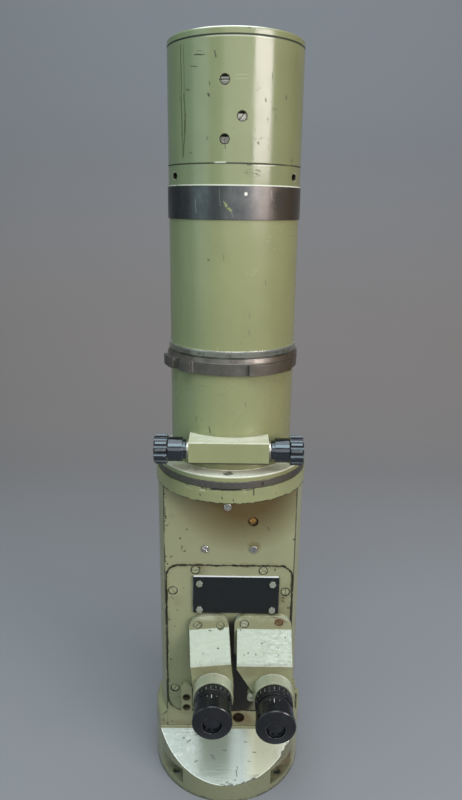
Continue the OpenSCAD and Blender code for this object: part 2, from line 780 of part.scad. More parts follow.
// Optics behind the cover
module optics_shelf() {
    color(bare) difference() {
        union() {
            translate([shelf_left, -cover_back, beam_z - 26])
                cube([shelf_right - shelf_left, 3.4, shelf_h]);
            translate([shelf_left + 12, -cover_back, shelf_top_z - shelf_t])
                cube([shelf_right - shelf_left - 12, cover_back + shelf_back, shelf_t]);
        }
        y_rod(left_beam_x, beam_z, ring_nut_r + 1, cover_back - 20, 30);
        y_rod(right_eye_x, beam_z, 6.6, cover_back - 12, 20);
        for (p = right_housing_spots()) y_rod(p[0], p[1], 2.6, cover_back - 5, 8);
        for (p = plate_spots) y_rod(p[0], p[1], 2.4, cover_back - 5, 8);
    }
}
module body_prisms() {
    color(glass) {
        translate([0, 0, beam_z]) rotate([90, 0, 0]) linear_extrude(15, center = true)
            polygon([[7.5, 7.5], [-7.5, 7.5], [-7.5, -7.5]]);
        translate([left_beam_x, 0, beam_z - 7.5]) linear_extrude(15)
            polygon([[7.5, -7.5], [7.5, 7.5], [-7.5, -7.5]]);
        translate([left_beam_x - 7.5, -second_y - 7.5, beam_z - 7.5]) cube(15);
        translate([right_eye_x, -second_y, beam_z - 7.5]) linear_extrude(15)
            polygon([[-7.5, 7.5], [-7.5, -7.5], [7.5, -7.5]]);
    }
}

// Azimuth drive
module azimuth_base() {
    color(green) difference() {
        union() {
            translate([0, 0, disc_z]) cylinder(r = base_disc_r, h = base_disc_h, $fn = 128);
            translate([0, 0, disc_z]) cylinder(r = neck_r, h = neck_top_z - disc_z);
        }
        translate([0, 0, disc_z - 1]) cylinder(r = neck_bore_r, h = 100);
        translate([0, 0, ball_z]) rotate_extrude() translate([ball_circle_r, 0])
            circle(r = ball_r + 0.3, $fn = 32);
        for (az = cap_az) translate(concat(on_az(az, cap_circle_r), disc_z - 1))
            cylinder(r = cap_shank_r + fixed_gap, h = cap_depth + 1);
    }
}
module thrust_ring() {
    z0 = bush_top_z + face_gap;
    color(bronze) {
        translate([0, 0, z0]) ring(lower_tube_ri - 0.6, neck_r + fixed_gap, 3);
        translate([0, 0, z0 + 2.9])
            ring(neck_r + 3, neck_r + fixed_gap, axle_z - wheel_t / 2 - z0 - 2.9);
    }
}

// Worm wheel: its teeth lean with the worm's thread
function half_at(r) = (tooth_pitch / 4 - backlash / 4
    - (r - wheel_pitch_r) * tan(pressure_angle)) / wheel_pitch_r * 180 / PI;
lead_angle = atan(worm_lead / (2 * PI * worm_pitch_r));
wheel_twist = -wheel_t * tan(lead_angle) / wheel_pitch_r * 180 / PI;
module worm_wheel() {
    step = 360 / wheel_teeth;
    color(bronze) difference() {
        translate([0, 0, axle_z]) rotate([0, 0, wheel_twist / 2 - 90])
            translate([0, 0, -wheel_t / 2])
            linear_extrude(wheel_t, twist = wheel_twist, slices = 1) polygon([
                for (i = [0 : wheel_teeth - 1]) for (k = [
                    [-half_at(wheel_root_r), wheel_root_r], [-half_at(wheel_tip_r), wheel_tip_r],
                    [half_at(wheel_tip_r), wheel_tip_r], [half_at(wheel_root_r), wheel_root_r],
                ]) [k[1] * cos(i * step + k[0]), k[1] * sin(i * step + k[0])]]);
        translate([0, 0, axle_z - 5]) cylinder(r = wheel_key_r, h = 10);
    }
}
module neck_nut() {
    z0 = axle_z + wheel_t / 2;
    color(steel) translate([0, 0, z0]) difference() {
        ring(neck_r + 3.6, neck_r + fixed_gap, neck_top_z - z0);
        for (a = [0 : 90 : 270]) rotate([0, 0, a + 45]) translate([neck_r + 1.8, -3, 2])
            cube([6, 6, 20]);
    }
}
module azimuth_bush() {
    color(bronze) translate([0, 0, ring_z])
        ring(bush_ro, neck_r + run_gap, bush_top_z - ring_z);
}
module scale_ring() {
    color(bare) translate([0, 0, ring_z]) difference() {
        ring(scale_ring_r, bush_ro + fixed_gap, scale_ring_h);
        for (a = [0 : 10 : 350]) rotate([0, 0, a]) translate([-0.3, -scale_ring_r - 1, 2.6])
            cube([0.6, 1.4, 10]);
        for (i = [0 : 5]) translate(concat(on_az(60 * i - 2, flange_r - 9), -1))
            cylinder(r = 1.8 + fixed_gap, h = 20);
    }
}
module flange_screws() {
    color(steel) for (i = [0 : 5]) translate(concat(on_az(60 * i - 2, flange_r - 9), tube_z))
        difference() {
            union() {
                translate([0, 0, -9]) cylinder(r = 1.8, h = 8);
                translate([0, 0, -2.6]) cylinder(r1 = 1.8, r2 = 3.6, h = 2.4);
            }
            rotate([0, 0, 37 * i]) translate([-5, -0.5, -1]) cube([10, 1, 2]);
        }
}
module lower_tube() {
    color(green) difference() {
        union() {
            translate([0, 0, flange_z]) cylinder(r = flange_r, h = flange_h, $fn = 128);
            translate([0, 0, flange_z]) cylinder(r = tube_r, h = joint_z - flange_z, $fn = 128);
        }
        translate([0, 0, flange_z - 1]) cylinder(r = bush_ro + fixed_gap, h = 20);
        translate([0, 0, bush_top_z]) cylinder(r = lower_tube_ri, h = 200);
        translate([-worm_len / 2 - 1.4, -tube_r - 4, axle_z - worm_tip_r - 0.6])
            cube([worm_len + 2.8, 14, 2 * worm_tip_r + 1.2]);
        translate([0, 0, rib_z]) ring(tube_r + 2, tube_r - 1, rib_h);
        for (i = [0 : 5]) translate(concat(on_az(60 * i - 2, flange_r - 9), tube_z - 20)) {
            cylinder(r = 1.8 + fixed_gap, h = 30);
            translate([0, 0, 17.2]) cylinder(r1 = 1.8 + fixed_gap, r2 = 4, h = 2.81);
        }
    }
}
module worm_block() {
    x0 = block_x - block_half_w;
    h = block_h;
    color(green) difference() {
        translate([x0, -worm_y - block_front, axle_z - h / 2])
            cube([2 * block_half_w, 40, h]);
        translate([0, 0, axle_z - h]) cylinder(r = block_back_r, h = 2 * h, $fn = 128);
        x_rod(-worm_len / 2 - 1.4, worm_tip_r + worm_clear, worm_len + 2.8);
        x_rod(-60, bush_r + fixed_gap, 120);
    }
}
module worm_bushes() {
    left = block_x - block_half_w;
    right = block_x + block_half_w;
    color(bronze) {
        difference() {
            union() {
                x_rod(left, bush_r, bush_len);
                x_rod(left - bush_flange_t, bush_flange_r, bush_flange_t);
            }
            x_rod(-60, shaft_r + run_gap, 120);
        }
        difference() {
            union() {
                x_rod(right - bush_len, bush_r, bush_len);
                x_rod(right, bush_flange_r, bush_flange_t);
            }
            x_rod(-60, shaft_r + run_gap, 120);
        }
    }
}

// Worm: two right-handed threads cut in one piece with its shaft
worm_turns = worm_len / worm_lead;
function thread_half(r) = (tooth_pitch / 4 - backlash / 4
    - (r - worm_pitch_r) * tan(pressure_angle)) / tooth_pitch * 360 / worm_starts;
module worm_shaft() {
    ht = thread_half(worm_tip_r);
    hr = thread_half(worm_root_r);
    left = block_x - block_half_w - knob_gap;
    right = block_x + block_half_w + knob_gap;
    angles = [-hr, -0.5 * hr - 0.5 * ht, -ht, 0, ht, 0.5 * hr + 0.5 * ht, hr, 0.5 * hr + 45];
    radii = [0, 0.5, 1, 1, 1, 0.5, 0, 0];
    color(steel) {
        translate([0, -worm_y, axle_z]) rotate([0, 90, 0]) translate([0, 0, -worm_len / 2])
            rotate([0, 0, -worm_turns * 180])
            linear_extrude(worm_len, twist = -worm_turns * 360, slices = 54, $fn = 16) polygon([
                for (s = [0 : worm_starts - 1]) for (i = [0 : 7])
                let (a = angles[i] + s * 360 / worm_starts,
                    r = worm_root_r + radii[i] * (worm_tip_r - worm_root_r))
                [r * cos(a), r * sin(a)]]);
        x_rod(left - knob_collar_w - 4, shaft_r, knob_collar_w + 4 - left - worm_len / 2 + 1);
        x_rod(worm_len / 2 - 1, shaft_r, right - worm_len / 2 + 1 + knob_collar_w + 4);
    }
}
module knob() {
    color(black) difference() {
        union() {
            translate([0, 0, 0]) cylinder(r = collar_r - 2.2, h = 3.1);
            translate([0, 0, 3]) cylinder(r = collar_r, h = knob_collar_w - 3);
            translate([0, 0, knob_collar_w - 0.01]) cylinder(r1 = collar_r, r2 = knob_r, h = 1.6);
            translate([0, 0, knob_collar_w + 1.5]) cylinder(r = knob_r, h = knob_head_w - 2.7);
            translate([0, 0, knob_collar_w + knob_head_w - 1.21])
                cylinder(r1 = knob_r, r2 = knob_r - 1.2, h = 1.21);
        }
        for (i = [0 : knob_flutes - 1]) rotate([0, 0, i * 360 / knob_flutes])
            translate([knob_r + 0.7, 0, knob_collar_w + 1]) cylinder(r = 2.5, h = 40, $fn = 32);
        translate([0, 0, -1]) cylinder(r = shaft_r + fixed_gap, h = knob_collar_w + 5.2);
        translate([0, 0, 0]) cylinder(r = 2.1, h = 60);
        translate([0, 0, knob_collar_w + knob_head_w - 2.6]) cylinder(r = 5, h = 60);
    }
}
module left_knob() {
    translate([block_x - block_half_w - knob_gap, -worm_y, axle_z]) rotate([0, -90, 0]) knob();
}
module right_knob() {
    translate([block_x + block_half_w + knob_gap, -worm_y, axle_z]) rotate([0, 90, 0]) knob();
}
module knob_screw() {
    difference() {
        union() {
            translate([0, 0, knob_collar_w + 4.3]) cylinder(r = 2, h = knob_head_w - 6.4);
            translate([0, 0, knob_collar_w + knob_head_w - 2.5]) cylinder(r = 4.4, h = 2);
        }
        translate([-6, -0.5, knob_collar_w + knob_head_w - 1.4]) cube([12, 1, 3]);
    }
}
module knob_screws() {
    color(steel) {
        translate([block_x - block_half_w - knob_gap, -worm_y, axle_z])
            rotate([0, -90, 0]) knob_screw();
        translate([block_x + block_half_w + knob_gap, -worm_y, axle_z])
            rotate([0, 90, 0]) knob_screw();
    }
}

// Derotator: its cage of balls goes half as fast as the tube
module derotator_cage() {
    color(bronze) difference() {
        union() {
            translate([0, 0, ball_z - cage_h / 2]) ring(neck_r - 1, 24, cage_h);
            translate([0, 0, disc_top_z + 4]) ring(28, 24, ball_z - disc_top_z - 4);
            translate([0, 0, disc_top_z + 4]) ring(25, 13, 2);
        }
        for (i = [0 : ball_count - 1]) rotate([0, 0, i * 360 / ball_count])
            translate([ball_circle_r, 0, ball_z - 5]) cylinder(r = ball_r + run_gap, h = 10);
    }
}
module derotator_balls() {
    color(steel) for (i = [0 : ball_count - 1]) rotate([0, 0, i * 360 / ball_count])
        translate([ball_circle_r, 0, ball_z]) sphere(r = ball_r, $fn = 32);
}
module derotator_prism() {
    z0 = disc_top_z + 6;
    l = ball_z - z0 + 1;
    color(glass) translate([-11, 0, z0]) intersection() {
        rotate([90, 0, 90]) linear_extrude(22) polygon([[-15, 0], [15, 15], [15, l - 15], [-15, l]]);
        translate([11, 0, -1]) cylinder(r = 23.9, h = l + 2);
    }
}
module upper_race() {
    color(steel) difference() {
        translate([0, 0, race_z]) ring(lower_tube_ri - fixed_gap, 30, race_h);
        translate([0, 0, ball_z]) rotate_extrude() translate([ball_circle_r, 0])
            circle(r = ball_r + 0.3, $fn = 32);
    }
}

// Coupling ring
module wedge(az, angle) {
    polygon([[0, 0], 90 * on_az(az - angle / 2, 1), 100 * on_az(az, 1), 90 * on_az(az + angle / 2, 1)]);
}
// One of the coupling ring's lobes, with filleted sides
module lobe() {
    c = lobe_angle / 2 + lobe_fillet_angle;
    r = coupling_r + lobe_fillet - 0.1;
    f = lobe_fillet;
    intersection() {
        translate([0, 0, 0.6]) cylinder(r = lobe_r, h = coupling_h - 1.2);
        linear_extrude(coupling_h) polygon(concat(
            [on_az(c, coupling_r - 2)],
            [for (t = [0 : 15 : 90]) on_az(c, r - f * cos(t)) - f * sin(t) * [cos(c), sin(c)]],
            [on_az(lobe_angle / 2, lobe_r + 3), on_az(0, lobe_r + 6)],
            [on_az(-lobe_angle / 2, lobe_r + 3)],
            [for (t = [90 : -15 : 0]) on_az(-c, r - f * cos(t))
                + f * sin(t) * [cos(c), -sin(c)]],
            [on_az(-c, coupling_r - 2)]));
    }
}
module coupling_ring() {
    color(bare) translate([0, 0, coupling_z]) difference() {
        union() {
            cylinder(r = coupling_r, h = coupling_h);
            translate([0, 0, coupling_h - 0.01])
                cylinder(r1 = coupling_r - 0.8, r2 = tube_r + 1.5, h = coupling_cone_h);
            for (az = lobe_az) rotate([0, 0, az]) lobe();
        }
        difference() {
            linear_extrude(coupling_h) wedge(notch_az, notch_angle);
            translate([0, 0, -1]) cylinder(r = coupling_r, h = coupling_h + 2);
        }
        difference() {
            translate([0, 0, -1]) cylinder(r = tube_r + run_gap, h = 30, $fn = 128);
            translate([0, 0, rib_z - coupling_z + 0.4]) ring(tube_r + 3, tube_r - 0.6, rib_h - 0.8);
        }
    }
}

// Upper tube and its lenses
module upper_tube() {
    color(green) difference() {
        union() {
            translate([0, 0, joint_z - joint_spigot_h])
                cylinder(r = lower_tube_ri - fixed_gap, h = joint_spigot_h + 1, $fn = 128);
            translate([0, 0, joint_z]) cylinder(r = upper_flange_r, h = upper_flange_h, $fn = 128);
            translate([0, 0, joint_z]) cylinder(r = tube_r, h = band_z - joint_z, $fn = 128);
            translate([0, 0, joint_z]) cylinder(r = spigot_ro, h = head_z - joint_z, $fn = 128);
        }
        translate([0, 0, joint_z - joint_spigot_h - 1]) cylinder(r = upper_tube_ri, h = 300);
        for (az = collar_screw_az) translate([0, 0, collar_z + 8.6]) rotate([0, 0, az])
            translate([0, -head_r - 3, 0]) rotate([-90, 0, 0])
                cylinder(r = 2 + fixed_gap, h = head_r + 3 - upper_tube_ri);
    }
}
module tube_lens_cells() {
    color(black) for (z = cell_z) translate([0, 0, z]) difference() {
        ring(upper_tube_ri - fixed_gap, tube_lens_r - 4, cell_h);
        translate([0, 0, 4]) cylinder(r = tube_lens_r, h = cell_h);
    }
}
module tube_lenses() {
    color(glass) for (z = cell_z) translate([0, 0, z + 4]) {
        cylinder(r = tube_lens_r - fixed_gap, h = 8);
        intersection() {
            cylinder(r = tube_lens_r - 1, h = 14);
            translate([0, 0, 10.4 - tube_lens_dome_r]) sphere(r = tube_lens_dome_r);
        }
    }
}
module sealing_band() {
    color(gunmetal) translate([0, 0, band_z]) ring(band_r, spigot_ro + fixed_gap, band_h);
}

// Head
module head_collar() {
    color(green) translate([0, 0, collar_z]) difference() {
        ring(head_r, spigot_ro + fixed_gap, collar_h);
        for (az = collar_screw_az) translate([0, 0, 8.6]) rotate([0, 0, az])
            translate([0, -70, 0]) rotate([-90, 0, 0]) cylinder(r = 3.4, h = 20);
    }
}
// Screw set in a round wall: z points outwards, from the head's front down
module radial(az, z, r) {
    translate([0, 0, z]) rotate([0, 0, az]) translate([0, -r, 0]) rotate([90, 0, 0]) children();
}
module head_screws() {
    color(steel) {
        for (s = head_screw_spots) radial(s[0], s[1], head_r - 1.3) difference() {
            union() {
                translate([0, 0, -1.2]) cylinder(r = 4, h = 1.2);
                translate([0, 0, -9]) cylinder(r = 2, h = 8);
            }
            rotate([0, 0, s[2]]) translate([-6, -0.5, -0.6]) cube([12, 1, 3]);
        }
        for (az = collar_screw_az) radial(az, collar_z + 8.6, head_r - 1.6)
            translate([0, 0, -3.4]) cylinder(r = 2, h = 2.6);
    }
}
module head_shell() {
    color(green) translate([0, 0, head_z]) difference() {
        union() {
            ring(head_r, head_ri, head_h);
            intersection() {
                cylinder(r = head_r - 1, h = head_h);
                translate([-31, window_y - 8, window_z - head_z - 40]) cube([62, 20, 80]);
            }
        }
        translate([-window_w / 2 - 4.5, window_y, window_z - head_z - window_h / 2 - 5])
            cube([window_w + 9, 20, window_h + 10]);
        translate([-window_w / 2 - 2, window_y - 4.6, window_z - head_z - window_h / 2 - 2])
            cube([window_w + 4, 20, window_h + 4]);
        translate([-window_w / 2, window_y - 20, window_z - head_z - window_h / 2])
            cube([window_w, 40, window_h]);
        for (s = head_screw_spots) translate([0, 0, -head_z]) radial(s[0], s[1], head_r) {
            translate([0, 0, -2.6]) cylinder(r = 4.6, h = 5);
            translate([0, 0, -20]) cylinder(r = 2 + fixed_gap, h = 25);
        }
        for (x = [-1, 1]) for (z = [-1, 1]) translate([x * (window_w / 2 + 2.2), window_y - 7,
            window_z - head_z + z * (window_h / 2 + 3.4)]) rotate([-90, 0, 0])
                cylinder(r = 1.1, h = 20);
    }
}
module head_lid() {
    color(green) {
        translate([0, 0, lid_z]) cylinder(r = head_r, h = lid_h - 1.6, $fn = 128);
        translate([0, 0, lid_z + lid_h - 1.6])
            cylinder(r1 = head_r, r2 = head_r - 1.6, h = 1.6, $fn = 128);
        translate([0, 0, lid_z - 4]) ring(head_ri - fixed_gap, head_ri - 3, 4.01);
    }
}
module head_window() {
    color(glass) translate([-window_w / 2 - 1.8, window_y - 4.5, window_z - window_h / 2 - 1.8])
        cube([window_w + 3.6, 4.4, window_h + 3.6]);
}
module window_frame() {
    color(bare) difference() {
        translate([-window_w / 2 - 4.3, window_y, window_z - window_h / 2 - 4.8])
            cube([window_w + 8.6, 2.4, window_h + 9.6]);
        translate([-window_w / 2 + 1, window_y - 10, window_z - window_h / 2 + 1])
            cube([window_w - 2, 40, window_h - 2]);
    }
}
module head_prism() {
    h = head_prism_half;
    color(glass) translate([0, 0, prism_z]) across(-h, 2 * h)
        polygon([[h, h], [h, -h], [-h, -h]]);
}
module prism_cradle() {
    h = head_prism_half;
    w = h + 0.1;
    color(bare) intersection() {
        translate([0, 0, prism_z]) difference() {
            union() {
                across(-w - 4, 2 * w + 8) polygon([[-70, -36], [-h - 4, -36], [-h - 4, -h - 3],
                    [h - 2, -h - 3], [h - 2, h + 3], [-40, h + 3], [-50, 24], [-70, 24]]);
            }
            across(-w, 2 * w) polygon([[h + 9, h + 9.2], [h + 9, -h - 9], [-h + 8, -h - 9],
                [-h + 8, -h - 0.15], [-h - 0.3, -h - 0.15]]);
            across(-w + 6, 2 * w - 12) polygon([[-52, -28], [-34, -28], [-34, 2], [-52, 2]]);
            for (s = head_screw_spots) translate([0, 0, -prism_z]) radial(s[0], s[1], head_r)
                translate([0, 0, -20]) cylinder(r = 2 + fixed_gap, h = 25);
        }
        translate([0, 0, head_z]) cylinder(r = head_ri - fixed_gap, h = head_h);
    }
}

// Eyepieces, drawn along the axis from the boss's front
module dioptre_ring() {
    translate([0, -boss_front - ring_gap, 0]) rotate([90, 0, 0]) difference() {
        union() {
            cylinder(r = dioptre_ring_r, h = dioptre_ring_len - 4.4);
            translate([0, 0, dioptre_ring_len - 4.5]) cylinder(r = dioptre_ring_r - 0.7, h = 4.5);
        }
        translate([0, 0, -1]) cylinder(r = eye_tube_r + run_gap, h = 40);
        for (i = [0 : 23]) rotate([0, 0, i * 15]) translate([dioptre_ring_r + 0.5, 0,
            dioptre_ring_len - 5.2]) translate([-0.9, -0.25, -5])
                cube([3, 0.5, 4.4]);
    }
}
eye_start = boss_front + ring_gap + dioptre_ring_len;
module eyepiece_tube(out) {
    s = stop_y + 0.6 + out - focus_least;
    translate([0, -s, 0]) rotate([90, 0, 0])
        ring(eye_tube_r, eye_tube_r - eye_wall, eye_start + out + 8 - s);
}
module eye_lens(out) {
    translate([0, -(eye_start + out + eyecup_len + cup_nose - eyecup_depth - lens_t), 0])
        rotate([90, 0, 0]) {
            cylinder(r = lens_r, h = lens_t - 1.4);
            translate([0, 0, lens_t - 1.4]) intersection() {
                translate([0, 0, -0.5]) cylinder(r = eyecup_bore_r - 0.4, h = 2);
                translate([0, 0, 1.2 - lens_dome_r]) sphere(r = lens_dome_r);
            }
        }
}
module eyecup(out) {
    l = eyecup_len;
    d = l + cup_nose - eyecup_depth;
    translate([0, -eye_start - out, 0]) rotate([90, 0, 0]) rotate_extrude(convexity = 4) polygon([
        [eye_tube_r + fixed_gap, 0], [eyecup_r - 1.4, 0], [eyecup_r - 0.9, 0.5],
        [eyecup_r - 0.9, l - eyecup_rim_len - 0.5], [eyecup_r - 0.3, l - eyecup_rim_len],
        [eyecup_r, l - eyecup_rim_len + 0.5], [eyecup_r, l - 0.8], [eyecup_r - 0.8, l],
        [eyecup_bore_r + 1.4, l + cup_nose],
        [eyecup_bore_r, l + cup_nose], [eyecup_bore_r, d - 1.4], [lens_r + fixed_gap, d - 1.4],
        [lens_r + fixed_gap, 8.1], [eye_tube_r + fixed_gap, 8.1],
    ]);
}
module left_eye() {
    left_place() translate([0, 0, -eye_drop]) children();
}
module right_eye() {
    translate([right_eye_x, 0, eye_z]) children();
}
module left_dioptre_ring() { color(black) left_eye() dioptre_ring(); }
module left_eyepiece_tube() { color(black) left_eye() eyepiece_tube(left_focus_out); }
module left_eye_lens() { color(glass) left_eye() eye_lens(left_focus_out); }
module left_eyecup() { color(black) left_eye() eyecup(left_focus_out); }
module right_dioptre_ring() { color(black) right_eye() dioptre_ring(); }
module right_eyepiece_tube() { color(black) right_eye() eyepiece_tube(right_focus_out); }
module right_eye_lens() { color(glass) right_eye() eye_lens(right_focus_out); }
module right_eyecup() { color(black) right_eye() eyecup(right_focus_out); }

foot();
body_housing();
cap_screws();
front_cover();
cover_screws();
blank_plate();
plate_bolts();
face_screws();
recessed_screws();
lamp_socket();
side_bracket();
right_prism_housing();
right_housing_screws();
right_prisms();
left_prism_housing();
left_housing_screws();
left_prisms();
swivel_ring();
optics_shelf();
body_prisms();
azimuth_base();
thrust_ring();
worm_wheel();
neck_nut();
azimuth_bush();
scale_ring();
lower_tube();
flange_screws();
worm_block();
worm_bushes();
worm_shaft();
left_knob();
right_knob();
knob_screws();
derotator_cage();
derotator_balls();
derotator_prism();
upper_race();
coupling_ring();
upper_tube();
tube_lens_cells();
tube_lenses();
sealing_band();
head_collar();
head_screws();
head_shell();
head_lid();
head_window();
window_frame();
head_prism();
prism_cradle();
left_dioptre_ring();
left_eyepiece_tube();
left_eye_lens();
left_eyecup();
right_dioptre_ring();
right_eyepiece_tube();
right_eye_lens();
right_eyecup();
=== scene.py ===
import math

import bpy
from mathutils import Matrix, Vector


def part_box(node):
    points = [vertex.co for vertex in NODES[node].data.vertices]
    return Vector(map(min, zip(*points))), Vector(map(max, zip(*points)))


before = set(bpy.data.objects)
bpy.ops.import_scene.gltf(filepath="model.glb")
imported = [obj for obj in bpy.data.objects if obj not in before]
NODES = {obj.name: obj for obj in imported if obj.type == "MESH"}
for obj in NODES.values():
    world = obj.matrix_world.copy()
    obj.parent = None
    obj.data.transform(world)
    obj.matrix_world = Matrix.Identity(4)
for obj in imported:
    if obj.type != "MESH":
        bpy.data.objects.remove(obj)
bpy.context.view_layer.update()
X, Y, Z = range(3)


# Sizes in millimetres, read from the frame where a node's box gives them
def low(node, axis=Z):
    return 1000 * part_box(node)[0][axis]


def high(node, axis=Z):
    return 1000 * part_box(node)[1][axis]


def middle(node, axis):
    return (low(node, axis) + high(node, axis)) / 2


FOOT_R = high("foot", X)
FACE_Y = low("body_housing", Y)
COVER_LOW, COVER_TOP, COVER_HALF = low("front_cover"), high("front_cover"), high("front_cover", X)
COVER_LOW_CORNER, COVER_TOP_CORNER = 18.0, 14.0
PLATE_TOP, PLATE_LEFT = high("blank_plate"), low("blank_plate", X)
DISC_LOW, DISC_R = low("azimuth_base"), high("azimuth_base", X)
SCALE_LOW, SCALE_R = low("scale_ring"), high("scale_ring", X)
FLANGE_LOW, FLANGE_R = low("lower_tube"), high("lower_tube", X)
FLANGE_THICK = 5.9
FLANGE_TOP = FLANGE_LOW + FLANGE_THICK
BLOCK_LOW, BLOCK_TOP, BLOCK_FRONT = low("worm_block"), high("worm_block"), low("worm_block", Y)
TUBE_R = 64.0
JOINT_Z = high("lower_tube")
BAND_TOP, BAND_R = high("sealing_band"), high("sealing_band", X)
SHELL_LOW, SHELL_TOP = low("head_shell"), high("head_shell")
LID_TOP = high("head_lid")

# Places as (x, z) on the front, in millimetres
RIGHT_EYE = (middle("right_dioptre_ring", X), middle("right_dioptre_ring", Z))
LEFT_EYE = (middle("left_dioptre_ring", X), middle("left_dioptre_ring", Z))
SOCKET_HOLES = ((-48.0, 104.0), (-48.0, 90.0))
UPPER_PLUG, LOWER_PLUG = (25.2, 328.3), (13.2, 71.0)
COVER_SCREWS = ((-37.6, 268.4), (37.6, 268.4), (-62.7, 242.4), (62.7, 242.4),
                (-61.7, 112.6), (61.7, 112.6))
LEFT_HOUSING_SCREWS = ((-33.5, 203.0), (-9.5, 203.0))
PALE_SCREW, RUSTY_SCREW, CLAMP_SCREW = (17.6, 204.2), (56.5, 206.5), (25.7, 130.6)

# Heights and turn in degrees of the screws in the head and its collar
HEAD_SCREW_Z = (758.8, 729.7, 710.9)
COLLAR_SCREW_Z, COLLAR_SCREW_TURN = 681, 61

# Depths (y) of the prism housings' front and flange; on their sloping faces z is y plus the offset
HOUSING_FRONT_Y = -70.0
HOUSING_FLANGE_Y = -42.0
SLOPE_OFFSET = 240.0

# Paints, grime and painted shade, and metals
GREEN = (0.200, 0.228, 0.117)
BODY = (0.240, 0.250, 0.142)
TUBE = (0.224, 0.242, 0.118)
# grime, also used as painted shade in corners
GRIME_AND_SHADE = (0.030, 0.027, 0.014)
BROWN = (0.080, 0.056, 0.020)
RUST = (0.115, 0.048, 0.015)
PRIMER = (0.030, 0.029, 0.022)
BARE = (0.42, 0.43, 0.40)
OLD_CHIP = (0.030, 0.034, 0.016)


def times(colour, k, plus=0.0):
    return tuple(min(1, k * c + plus) for c in colour)


